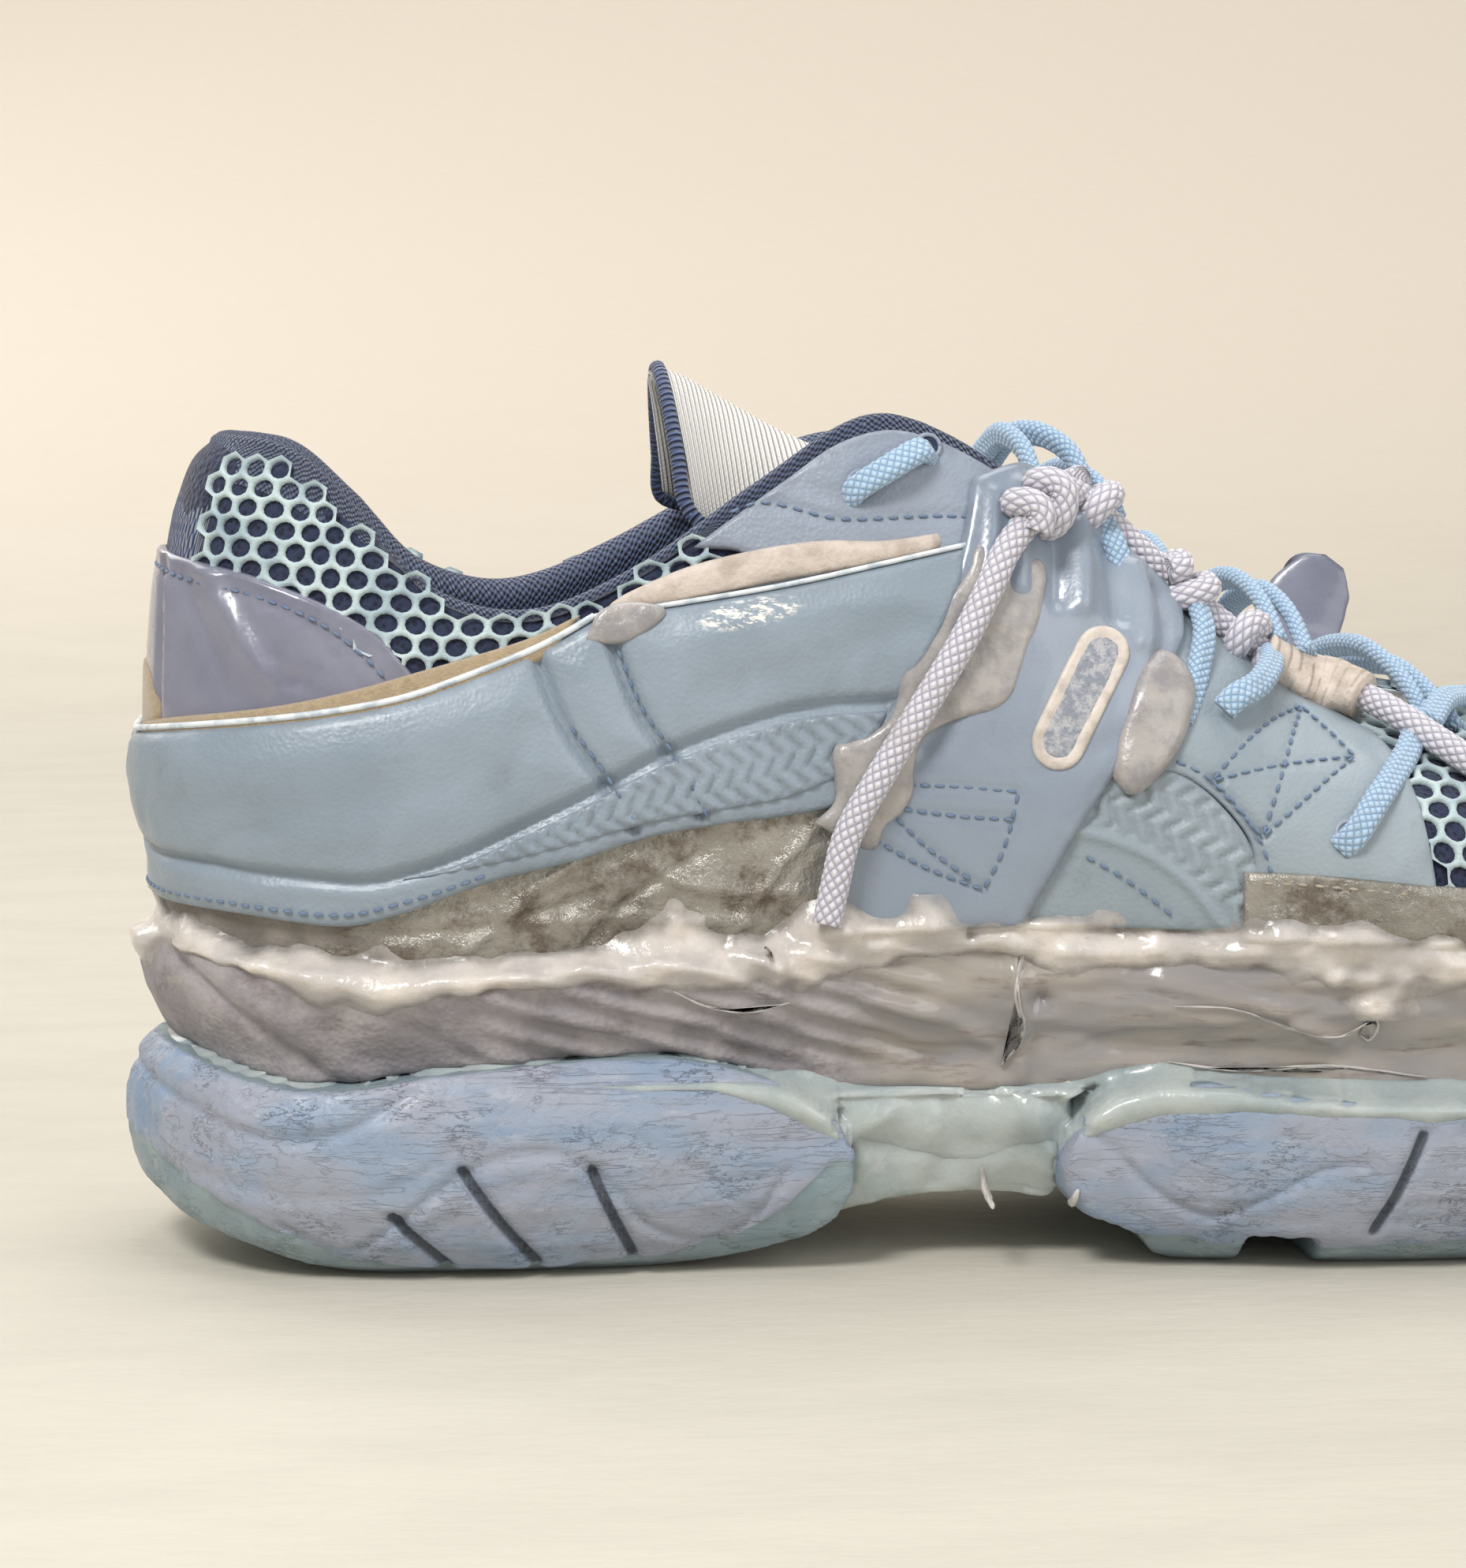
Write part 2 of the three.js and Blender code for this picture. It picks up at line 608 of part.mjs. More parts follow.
const sole = makeSole();
addPiece("outsole_heel", geometryOf(sole.heelPod), material("rubber", 0.7));
addPiece("outsole_forefoot", geometryOf(sole.forePod), material("rubber", 0.7));
addPiece("midsole", geometryOf(sole.foam), material("foam", 0.8));
addPiece("arch_bridge", geometryOf(sole.bridge), material("glue", 0.4));
addPiece("insole", makeInsole(), material("sock", 0.9));
addPiece("upper", makeUpper(), material("mesh", 0.9));
addPiece("tongue", makeTongue(), material("lining", 0.9));
addPiece("quarter_panel", makeQuarterPanel(), material("leather", 0.5));
addPiece("heel_counter", makeHeelCounter(), material("foam", 0.4));
addPiece("strap_lateral", makeStrap(-1), material("strap", 0.45));
addPiece("strap_medial", makeStrap(1), material("strap", 0.45));
addPiece("glue_bead", makeGlueBead(), material("glue", 0.35));
addPiece("laces", makeLaces(), material("lace", 0.8));
addPiece("tie_cord", tube(cordRoute, cordRadius, 62), material("cord", 0.8));

// The origin is under the middle of the shoe, on the floor
const cordNames = ["tie_cord"];
const box = new THREE.Box3();
for (const mesh of shoe.children) {
  if (cordNames.includes(mesh.name)) continue;
  mesh.geometry.computeBoundingBox();
  box.union(mesh.geometry.boundingBox);
}
const centre = box.getCenter(new THREE.Vector3());
shoe.position.set(-centre.x, -centre.y, -box.min.z);

const part = new THREE.Group();
part.add(shoe);
export default part;
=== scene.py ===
import math

import bmesh
import bpy
import numpy as np
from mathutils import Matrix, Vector, geometry
from mathutils.bvhtree import BVHTree


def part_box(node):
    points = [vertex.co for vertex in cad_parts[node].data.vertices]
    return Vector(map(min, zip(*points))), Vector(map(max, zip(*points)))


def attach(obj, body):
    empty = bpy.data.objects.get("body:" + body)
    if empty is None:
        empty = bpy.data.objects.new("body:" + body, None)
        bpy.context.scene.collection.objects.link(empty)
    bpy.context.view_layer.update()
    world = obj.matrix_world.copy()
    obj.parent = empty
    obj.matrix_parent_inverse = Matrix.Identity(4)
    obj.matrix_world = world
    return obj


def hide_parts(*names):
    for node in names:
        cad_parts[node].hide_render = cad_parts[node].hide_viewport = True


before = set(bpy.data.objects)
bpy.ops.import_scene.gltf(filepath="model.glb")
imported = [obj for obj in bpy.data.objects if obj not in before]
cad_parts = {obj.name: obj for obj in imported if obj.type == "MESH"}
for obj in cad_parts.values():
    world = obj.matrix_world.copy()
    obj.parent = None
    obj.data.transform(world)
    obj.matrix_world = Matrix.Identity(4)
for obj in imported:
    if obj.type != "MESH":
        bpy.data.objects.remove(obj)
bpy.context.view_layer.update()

# The shoe's own measures are in millimetres: x from the heel's back to the toe, y from the lateral side (-)
# to the medial side (+), z from the floor. toScene puts them in the frame, in metres.
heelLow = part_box("outsole_heel")[0]
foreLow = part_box("outsole_forefoot")[0]
widestLateral = 53.8
shoeOrigin = np.array([heelLow.x * 1000, foreLow.y * 1000 + widestLateral, 0.0])


def toScene(points):
    return (np.asarray(points, float) + shoeOrigin) / 1000


# camera, light and floor
stageSettings = {
    "aim": (103.2, -40.0, 84.9),
    "azimuth": -6.5,
    "elevation": 7.0,
    "distance": 615.0,
    "seenHeight": 262.4,
    "floorColour": (0.60, 0.568, 0.49, 1),
    "wallColour": (0.80, 0.72, 0.615, 1),
    "lampColour": (1, 0.985, 0.965),
    "roomColour": (1, 0.985, 0.96, 1),
    "roomLight": 0.36,
    # each lamp's place, power, size and what it points at
    "lamps": {
        "key": ((-0.6, -0.8, 1.15), 14.5, 0.4, (0, 0, 0.07)),
        "fill": ((0.9, -1.0, 0.7), 7, 1.2, (0, 0, 0.07)),
        "top": ((0.1, 0.25, 1.4), 8, 0.9, (0, 0, 0.07)),
        "rim": ((-0.7, 0.9, 0.8), 5, 0.8, (0, 0, 0.07)),
        "wall": ((1.3, 0.7, 1.3), 3.5, 0.8, (0.55, 2.0, 0.5)),
    },
}


def makeStage(s):
    azimuth, elevation = math.radians(s["azimuth"]), math.radians(s["elevation"])
    level = math.cos(elevation)
    back = Vector((math.sin(azimuth) * level, -math.cos(azimuth) * level, math.sin(elevation)))
    camera = bpy.data.objects.new("camera", bpy.data.cameras.new("camera"))
    camera.data.lens = 36 * s["distance"] / s["seenHeight"]
    camera.data.clip_start, camera.data.clip_end = 0.01, 20
    camera.location = Vector(toScene(s["aim"])) + back * s["distance"] / 1000
    camera.rotation_euler = (-back).to_track_quat("-Z", "Y").to_euler()
    bpy.context.scene.collection.objects.link(camera)
    bpy.context.scene.camera = camera

    for name, (at, power, size, aim) in s["lamps"].items():
        lamp = bpy.data.objects.new(name, bpy.data.lights.new(name, "AREA"))
        lamp.data.energy, lamp.data.size = power, size
        lamp.location = at
        lamp.rotation_euler = (Vector(aim) - Vector(at)).to_track_quat("-Z", "Y").to_euler()
        lamp.data.color = s["lampColour"]
        bpy.context.scene.collection.objects.link(lamp)
    world = bpy.data.worlds.new("room")
    world.use_nodes = True
    background = world.node_tree.nodes["Background"]
    background.inputs["Color"].default_value = s["roomColour"]
    background.inputs["Strength"].default_value = s["roomLight"]
    bpy.context.scene.world = world
    bpy.context.scene.view_settings.view_transform = "Standard"

    # one sheet: a floor that curves up into a wall
    bm = bmesh.new()
    bmesh.ops.create_grid(bm, x_segments=2, y_segments=40, size=1)
    flat, radius, nearEdge = 2.2, 0.9, 1.5
    bend = radius * math.pi / 2
    for vert in bm.verts:
        run = (vert.co.y + 1) * 2.6
        x = vert.co.x * 4
        if run < flat:
            vert.co = (x, run - nearEdge, 0)
        elif run < flat + bend:
            turn = (run - flat) / radius
            vert.co = (x, flat - nearEdge + radius * math.sin(turn), radius * (1 - math.cos(turn)))
        else:
            vert.co = (x, flat - nearEdge + radius, radius + run - flat - bend)
    sweepMesh = bpy.data.meshes.new("floor")
    bm.to_mesh(sweepMesh)
    bm.free()
    floor = bpy.data.objects.new("floor", sweepMesh)
    bpy.context.scene.collection.objects.link(floor)
    for polygon in sweepMesh.polygons:
        polygon.use_smooth = True
    return floor


floor = makeStage(stageSettings)
print("stage made")


# shader maths
class Value:
    def __init__(self, finish, socket):
        self.finish, self.socket = finish, socket

    def __add__(self, other):
        return self.finish.maths("ADD", self, other)

    def __sub__(self, other):
        return self.finish.maths("SUBTRACT", self, other)

    def __rsub__(self, other):
        return self.finish.maths("SUBTRACT", other, self)

    def __mul__(self, other):
        return self.finish.maths("MULTIPLY", self, other)

    def __truediv__(self, other):
        return self.finish.maths("DIVIDE", self, other)

    def __pow__(self, other):
        return self.finish.maths("POWER", self, other)

    __radd__ = __add__
    __rmul__ = __mul__


class Finish:
    # one material, with its Principled shader and the shoe's own millimetres as coordinates
    def __init__(self, name, roughness=0.6, metallic=0.0, coat=0.0, sheen=0.0, translucent=0.0):
        self.material = bpy.data.materials.new(name)
        self.material.use_nodes = True
        self.nodes, self.links = self.material.node_tree.nodes, self.material.node_tree.links
        self.shader = self.nodes["Principled BSDF"]
        self.set("Roughness", roughness)
        self.set("Metallic", metallic)
        self.set("Coat Weight", coat)
        self.set("Coat Roughness", 0.12)
        self.set("Sheen Weight", sheen)
        self.set("Subsurface Weight", translucent)
        if translucent:
            self.set("Subsurface Radius", (0.006, 0.005, 0.004))
            self.set("Subsurface Scale", 1.0)
        place = self.node("ShaderNodeTexCoord").outputs["Object"]
        values = {"Vector": place, "Scale": (1000, 1000, 1000), "Location": tuple(-shoeOrigin)}
        self.shoe = self.node("ShaderNodeMapping", {}, values).outputs["Vector"]
        split = self.node("ShaderNodeSeparateXYZ", {}, {"Vector": self.shoe})
        self.x, self.y, self.z = (Value(self, split.outputs[axis]) for axis in "XYZ")

    def node(self, kind, settings=None, values=None):
        made = self.nodes.new(kind)
        for key, setting in (settings or {}).items():
            if key == "stops":
                for extra in range(len(setting) - 2):
                    made.color_ramp.elements.new(0.5)
                for element, (position, colour) in zip(made.color_ramp.elements, setting):
                    element.position, element.color = position, colour
            else:
                setattr(made, key, setting)
        for key, value in (values or {}).items():
            if isinstance(value, Value):
                self.links.new(value.socket, made.inputs[key])
            elif isinstance(value, bpy.types.NodeSocket):
                self.links.new(value, made.inputs[key])
            else:
                made.inputs[key].default_value = value
        return made

    def maths(self, operation, *operands):
        made = self.node("ShaderNodeMath", {"operation": operation}, dict(enumerate(operands)))
        return Value(self, made.outputs[0])

    def between(self, value, low, high, start=0.0, end=1.0):
        values = {"Value": value, "From Min": low, "From Max": high, "To Min": start, "To Max": end}
        made = self.node("ShaderNodeMapRange", {"interpolation_type": "SMOOTHSTEP"}, values)
        return Value(self, made.outputs["Result"])

    def noise(self, size, detail=3.0, roughness=0.55, stretch=None):
        place = self.shoe
        if stretch:
            place = self.node("ShaderNodeMapping", {}, {"Vector": place, "Scale": stretch}).outputs["Vector"]
        values = {"Vector": place, "Scale": 1 / size, "Detail": detail, "Roughness": roughness}
        return Value(self, self.node("ShaderNodeTexNoise", {}, values).outputs["Fac"])

    def patches(self, limits, *noise, **more):
        # a noise, given by its size, detail and the rest, made into soft patches between two limits
        return self.between(self.noise(*noise, **more), *limits)

    def veins(self, limit, shown, *noise, **more):
        # thin lines where a noise crosses its middle value
        middle = self.maths("ABSOLUTE", self.noise(*noise, **more) - 0.5)
        return self.between(middle, limit, 0.0) * shown

    def cells(self, size, feature="F1"):
        made = self.node(
            "ShaderNodeTexVoronoi", {"feature": feature}, {"Vector": self.shoe, "Scale": 1 / size}
        )
        return Value(self, made.outputs["Distance"])

    def attribute(self, name):
        return Value(self, self.node("ShaderNodeAttribute", {"attribute_name": name}).outputs["Fac"])

    def flat(self):
        # the pattern piece's own flat coordinates, in millimetres
        layer = self.node("ShaderNodeUVMap", {"uv_map": "flat"}).outputs["UV"]
        split = self.node("ShaderNodeSeparateXYZ", {}, {"Vector": layer})
        return Value(self, split.outputs["X"]) * 10, Value(self, split.outputs["Y"]) * 10

    def mix(self, factor, first, second):
        made = self.node("ShaderNodeMix", {"data_type": "RGBA"}, {0: factor, 6: first, 7: second})
        return made.outputs[2]

    def colour(self, value):
        self.set("Base Color", value)

    def set(self, socket, value):
        if isinstance(value, (Value, bpy.types.NodeSocket)):
            self.links.new(value.socket if isinstance(value, Value) else value, self.shader.inputs[socket])
        else:
            self.shader.inputs[socket].default_value = value

    def bump(self, height, depth):
        # depth is in millimetres
        made = self.node("ShaderNodeBump", {}, {"Height": height, "Distance": depth / 1000, "Strength": 1.0})
        self.set("Normal", made.outputs["Normal"])


def linear(value):
    # from a screen value to linear light
    return value / 255 / 12.92 if value <= 10 else ((value / 255 + 0.055) / 1.055) ** 2.4


def rgb(red, green, blue):
    return linear(red), linear(green), linear(blue), 1.0


def wornLeather(name, base, shade, scuff, gloss=0.42, coat=0.15, grain=0.14, paintedGlare=None):
    # grain is its depth; paintedGlare is where a painted glare highlight lies, broken into white specks on
    # the lateral side: x, z, length, height and slope
    wear, edgeWear = 0.35, 0.45
    f = Finish(name, gloss, coat=coat)
    broad, fine = f.noise(38, 4), f.noise(2.2, 5)
    dirt = f.patches((0.52, 0.78), 13, 6, roughness=0.7)
    colour = f.mix(f.between(broad, 0.3, 0.7), base, shade)
    colour = f.mix(dirt * wear * f.between(fine, 0.35, 0.65), colour, scuff)
    edge = f.attribute("edge")
    colour = f.mix(edge * edgeWear * f.patches((0.35, 0.6), 5, 4), colour, scuff)
    if paintedGlare:
        x, z, long, tall, slant = paintedGlare
        away = ((f.x - x) / long) ** 2 + ((f.z - z - (f.x - x) * slant) / tall) ** 2
        brokenPatches = f.patches((0.5, 0.56), 1.5, 5, roughness=0.75, stretch=(0.6, 1, 1.5))
        # painted highlight: white specks of glare on the crinkled finish, lateral side only
        colour = f.mix(f.between(away, 1.1, 0.4) * brokenPatches * f.between(f.y, 0, -5), colour, rgb(236, 232, 224))
    f.colour(colour)
    f.set("Roughness", f.patches((0.25, 0.8, gloss - 0.08, gloss + 0.16), 7, 4))
    pores = f.cells(0.85) * 0.6 + f.noise(0.6, 2) * 0.4
    f.bump(pores + f.noise(9, 3) * 1.5, grain)
    return f.material


def mottled(name, first, second, blotch, limits, grain, depth, roughness, **look):
    # two colours in blotches over a fine grain, each given as a noise's size, detail and roughness
    f = Finish(name, roughness, **look)
    spread = f.noise(*blotch)
    f.colour(f.mix(f.between(spread, *limits) if limits else spread, first, second))
    f.bump(f.noise(*grain), depth)
    return f.material


def braided(name, strand, valley, first, second, soil, soiled, depth):
    # strands that cross in diamonds along a cord; soil is a noise's size, its limits and how much shows
    f = Finish(name, 0.8, sheen=0.4)
    along, around = f.flat()
    run, turn = along * strand, around * 25.13
    braid = f.maths("ABSOLUTE", f.maths("SINE", run + turn) * f.maths("SINE", run - turn))
    # painted shade: the valleys between strands take the first, darker colour, following the braid that the
    # bump uses
    base = f.mix(f.between(braid, 0.0, valley), first, second)
    size, low, high, much = soil
    f.colour(f.mix(f.patches((low, high), size, 5) * much, base, soiled))
    f.bump(braid + f.noise(0.5, 2) * 0.3, depth)
    return f.material


def makeFinishes():
    made = {}
    made["panel"] = wornLeather(
        "panelLeather", rgb(146, 159, 172), rgb(132, 146, 158), rgb(112, 120, 130),
        # where the painted glare highlight lies on the quarter
        paintedGlare=(106, 113.4, 9.5, 2.6, 0.17)
    )
    made["front"] = wornLeather(
        "frontLeather", rgb(152, 164, 172), rgb(138, 151, 161), rgb(112, 119, 128), gloss=0.5, coat=0.05
    )
    made["eyestay"] = wornLeather(
        "eyestayLeather", rgb(158, 167, 182), rgb(143, 153, 169), rgb(108, 115, 128), gloss=0.45, grain=0.2
    )
    made["strap"] = wornLeather(
        "strapLeather", rgb(149, 160, 175), rgb(133, 145, 161), rgb(108, 113, 125), gloss=0.28, coat=0.45,
        grain=0.05
    )
    made["counter"] = wornLeather(
        "counterMoulding", rgb(140, 142, 158), rgb(120, 122, 140), rgb(90, 90, 104), gloss=0.25, coat=0.5,
        grain=0.03
    )

    made["suede"] = mottled(
        "suede", rgb(118, 112, 106), rgb(140, 134, 126), (6, 5), (0.35, 0.7), (0.7, 4), 0.35, 0.95,
        sheen=0.3
    )
    made["felt"] = mottled(
        "edgeFelt", rgb(150, 130, 104), rgb(186, 168, 140), (1.2, 4), None, (0.5, 3), 0.4, 1.0, sheen=0.4
    )
    made["edgePaint"] = mottled(
        "edgePaint", rgb(226, 232, 236), rgb(188, 198, 206), (4, 5), (0.45, 0.6), (0.8, 3), 0.1, 0.4
    )
    made["threadBlue"] = mottled(
        "threadBlue", rgb(92, 112, 142), rgb(122, 142, 168), (2, 2), None, (0.4, 2), 0.1, 0.6
    )
    made["threadTan"] = mottled(
        "threadTan", rgb(150, 138, 122), rgb(190, 180, 164), (2, 2), None, (0.4, 2), 0.1, 0.7
    )
    made["oldGlue"] = mottled(
        "oldGlue", rgb(176, 171, 168), rgb(148, 145, 147), (7, 6, 0.7), (0.4, 0.65), (3, 5), 0.5, 0.3,
        translucent=0.3, coat=0.4
    )
    made["tape"] = mottled(
        "tapeTan", rgb(208, 195, 184), rgb(180, 166, 154), (5, 5), (0.4, 0.7), (1.6, 5), 0.5, 0.55
    )
    made["ivory"] = mottled(
        "badgeIvory", rgb(216, 206, 196), rgb(190, 180, 172), (3, 5), (0.4, 0.7), (1, 3), 0.15, 0.45
    )
    made["flock"] = mottled(
        "badgeFlock", rgb(142, 148, 160), rgb(186, 186, 190), (1.8, 6, 0.75), (0.42, 0.6), (0.7, 4), 0.4,
        0.95
    )
    # each braid's first colour is its painted shade between strands
    made["lace"] = braided(
        "laceWeave", 2.094, 0.5, rgb(128, 160, 192), rgb(180, 206, 230), (7, 0.55, 0.75, 0.35),
        rgb(120, 134, 150), 0.3
    )
    made["cord"] = braided(
        "cordBraid", 1.428, 0.45, rgb(166, 164, 180), rgb(222, 219, 228), (12, 0.5, 0.75, 0.4),
        rgb(176, 166, 160), 0.4
    )

    f = Finish("crinkledFoil", 0.34, metallic=0.6)
    dirt = f.patches((0.46, 0.66), 9, 6, roughness=0.75)
    base = f.mix(f.patches((0.3, 0.7), 26, 4), rgb(172, 168, 160), rgb(134, 130, 122))
    f.colour(f.mix(dirt * 0.75, base, rgb(92, 78, 64)))
    f.set("Roughness", f.patches((0.3, 0.75, 0.26, 0.52), 5, 5))
    crease = f.noise(3.2, 5, roughness=0.65) + f.cells(6, "DISTANCE_TO_EDGE") * 0.4
    f.bump(crease, 0.9)
    made["foil"] = f.material

    f = Finish("darkLining", 0.95, sheen=0.2)
    f.colour(f.mix(f.between(f.cells(1.1), 0.1, 0.6), rgb(24, 28, 44), rgb(44, 52, 78)))
    f.bump(f.cells(1.1), 0.4)
    made["dark"] = f.material

    f = Finish("paleLining", 0.9, sheen=0.4)
    f.colour(f.mix(f.patches((0.35, 0.7), 20, 4), rgb(196, 194, 192), rgb(160, 158, 158)))
    f.bump(f.cells(0.9) + f.noise(8, 3), 0.3)
    made["lining"] = f.material

    f = Finish("navyKnit", 0.9, sheen=0.35)
    along, up = f.flat()
    wale = f.maths("SINE", along * 5.2) * f.maths("SINE", up * 4.4 + f.maths("SINE", along * 2.6) * 0.8)
    # darker where the wales dip, as the bump does: painted shade between the wales
    base = f.mix(f.between(wale, -0.6, 0.8), rgb(34, 44, 74), rgb(84, 104, 148))
    fleck = f.between(f.cells(1.5), 0.24, 0.1) * f.patches((0.5, 0.62), 4, 3)
    f.colour(f.mix(fleck * 0.5, base, rgb(150, 170, 200)))
    f.bump(wale, 0.5)
    made["navy"] = f.material

    f = Finish("mintThread", 0.75, sheen=0.4)
    f.colour(f.mix(f.patches((0.4, 0.7), 9, 5), rgb(200, 218, 220), rgb(158, 180, 190)))
    f.bump(f.noise(0.45, 3, stretch=(1, 1, 3)), 0.25)
    made["mesh"] = f.material

    f = Finish("ribbedKnit", 0.9, sheen=0.5)
    along, up = f.flat()
    rib = f.maths("SINE", up * 4.6)
    stitch = f.maths("ABSOLUTE", f.maths("SINE", along * 3.2 + rib * 0.5))
    # lighter on the rib crowns and darker between the ribs: painted shade following the bump, with random
    # tone
    f.colour(f.mix(f.between(rib + f.noise(6, 4), -0.4, 1.2), rgb(232, 229, 222), rgb(252, 250, 245)))
    f.bump(rib * 0.7 + stitch * 0.3, 0.45)
    made["knit"] = f.material

    f = Finish("hotGlue", 0.22, translucent=0.35, coat=0.6)
    milk = f.mix(f.patches((0.3, 0.7), 11, 5), rgb(222, 214, 206), rgb(192, 187, 184))
    f.colour(
        f.mix(
            f.patches((0.58, 0.74), 6, 6, roughness=0.7, stretch=(0.3, 1, 1.6)) * 0.6, milk,
            rgb(168, 146, 124)
        )
    )
    f.set("Roughness", f.patches((0.3, 0.7, 0.12, 0.38), 4, 4))
    f.set("Alpha", 1 - f.attribute("thin") * f.patches((0.25, 0.7, 0.3, 0.7), 5, 4))
    f.bump(f.noise(3, 4), 0.5)
    made["glue"] = f.material

    f = Finish("insoleCloth", 0.9, sheen=0.3)
    f.colour(f.mix(f.patches((0.35, 0.7), 16, 5), rgb(132, 134, 142), rgb(104, 106, 116)))
    f.bump(f.cells(0.8), 0.3)
    made["insole"] = f.material
    return made


finishes = makeFinishes()
print("finishes made")


# the last's skin: every upper piece is laid on it
# key sections from heel to toe: foot x, lateral y, medial y; top x, lateral y, medial y, lateral z, medial z;
# and how far each section stands out low and high
lastKeys = np.array([
    (9, 0, 0, 17, 0, 0, 143, 143, 6, 28, 11, 8),
    (13, -17, 16.5, 20, -13, 13, 143.5, 143.5, 6, 28, 10, 9),
    (26, -29.5, 28.5, 31, -22, 22, 141, 141, 5, 28, 8, 12),
    (41, -34.5, 33, 42, -27, 27.5, 131, 131.5, 4, 24, 7, 14),
    (55, -36.3, 34.5, 54, -30, 31, 118, 119, 3.5, 20, 6, 14),
    (71, -36.8, 35, 70, -31.5, 33, 114.3, 115.5, 3, 20, 5.5, 14),
    (90, -36.3, 34.2, 88, -31, 33, 121.5, 122, 3, 22, 6, 18),
    (109, -36, 33.5, 108, -28.5, 31, 135, 133.5, 3, 26, 8, 22),
    (127, -36.2, 33.5, 128, -25, 28, 146.5, 142.5, 3.5, 30, 11, 22),
    (146, -37.5, 35, 147, -22, 25.5, 141, 138.5, 4, 32, 13, 20),
    (167, -41, 38.5, 168, -21, 23.5, 124.5, 124.5, 4, 30, 15, 14),
    (189, -45.5, 43.5, 190, -20.5, 22, 106, 109, 4, 26, 15, 9),
    (209, -48.5, 48.5, 209, -19, 20, 95, 99, 4, 24, 16, 4),
    (228, -49, 51, 227, -13, 15.5, 91.5, 95.5, 4, 24, 20, 2.5),
    (247, -46, 50.5, 242, 4, 4, 93.5, 93.5, 3.5, 23, 28, 2),
    (266, -39, 45, 259, 5.5, 5.5, 89.5, 89.5, 3.5, 21, 25, 2),
    (283, -28, 35.5, 273, 6, 6, 83.5, 83.5, 3, 18, 20, 2),
    (296, -13.5, 22, 283, 5.5, 5.5, 78, 78, 3, 15, 15, 2),
    (303.5, 4.5, 4.5, 288, 4.5, 4.5, 74.5, 74.5, 3, 12, 10, 1.5),
])
ridgeKey, lastKey = 14, 18
featherLine = [
    (-20, 57), (9, 57), (30, 55.2), (60, 54), (95, 56), (130, 58.4), (170, 58.8), (215, 57.4), (250, 55.8),
    (330, 55.4)
]


def bell(x):
    return np.exp(-(x**2))


def ease(low, high, x):
    k = np.clip((np.asarray(x, float) - low) / (high - low), 0, 1)
    return k * k * (3 - 2 * k)


def curveThrough(points, x):
    px, py = np.array(points, float).T
    slope = np.gradient(py)
    slope[1:-1] = (py[2:] - py[:-2]) / (px[2:] - px[:-2])
    slope[0], slope[-1] = (py[1] - py[0]) / (px[1] - px[0]), (py[-1] - py[-2]) / (px[-1] - px[-2])
    x = np.clip(x, px[0], px[-1])
    i = np.clip(np.searchsorted(px, x, side="right") - 1, 0, len(px) - 2)
    span = px[i + 1] - px[i]
    k = (x - px[i]) / span
    ends = (2 * k**3 - 3 * k**2 + 1) * py[i] + (3 * k**2 - 2 * k**3) * py[i + 1]
    return ends + (k**3 - 2 * k**2 + k) * span * slope[i] + (k**3 - k**2) * span * slope[i + 1]


def aroundLoop(lateral, medial, side):
    keys = np.vstack([lateral, medial[-2:0:-1]])
    spot = np.where(side <= 0, -side * lastKey, 2 * lastKey - side * lastKey)
    i = np.floor(spot).astype(int)
    k = (spot - i)[..., None]
    before, start, end, after = (keys[(i + step) % len(keys)] for step in (-1, 0, 1, 2))
    ends = (2 * k**3 - 3 * k**2 + 1) * start + (3 * k**2 - 2 * k**3) * end
    return ends + (k**3 - 2 * k**2 + k) * 0.5 * (end - before) + (k**3 - k**2) * 0.5 * (after - start)


def wrapSide(side):
    return np.where(side > 1, side - 2, np.where(side < -1, side + 2, side))


def unit(vectors):
    return vectors / np.maximum(np.linalg.norm(vectors, axis=-1, keepdims=True), 1e-9)


def footAt(side):
    return aroundLoop(lastKeys[:, [0, 1]], lastKeys[:, [0, 2]], side)


def lastSkin(side, rise):
    # side: -1 at the toe, by the lateral side to 0 at the heel, on to 1 at the toe; rise: 0 sole, 1 top
    side, rise = np.broadcast_arrays(np.asarray(side, float), np.asarray(rise, float))
    side = wrapSide(side)
    key = np.abs(side) * lastKey
    foot = footAt(side)
    footZ = curveThrough(featherLine, foot[..., 0])
    tops = [aroundLoop(lastKeys[:, [3, 4, 6]], lastKeys[:, [3, 5, 7]], s) for s in (side, -side)]
    top = np.where((key >= ridgeKey)[..., None], (tops[0] + tops[1]) / 2, tops[0])
    run = footAt(wrapSide(side + 0.004)) - footAt(wrapSide(side - 0.004))
    out = unit(np.stack([-run[..., 1], run[..., 0]], -1))
    stand = aroundLoop(lastKeys[:, 8:], lastKeys[:, 8:], side)
    ridge = ease(ridgeKey - 3, ridgeKey, key) * (1 - ease(lastKey - 2, lastKey, key))
    straight = np.stack([np.zeros_like(side), np.where(side >= 0, 1.0, -1.0)], -1)
    topOut = unit(out * (1 - ridge[..., None]) + straight * ridge[..., None])
    a = np.concatenate([foot, footZ[..., None]], -1)
    b = np.concatenate([foot + out * stand[..., :1], (footZ + stand[..., 1])[..., None]], -1)
    c = np.concatenate(
        [top[..., :2] + topOut * stand[..., 2:3], (top[..., 2] - stand[..., 3])[..., None]], -1
    )
    k = rise[..., None]
    onSkin = a * (1 - k) ** 3 + b * 3 * (1 - k) ** 2 * k + c * 3 * (1 - k) * k**2 + top * k**3
    return np.where(k > 1, top + unit(top - c) * np.clip(k - 1, 0, None) * 100, onSkin)


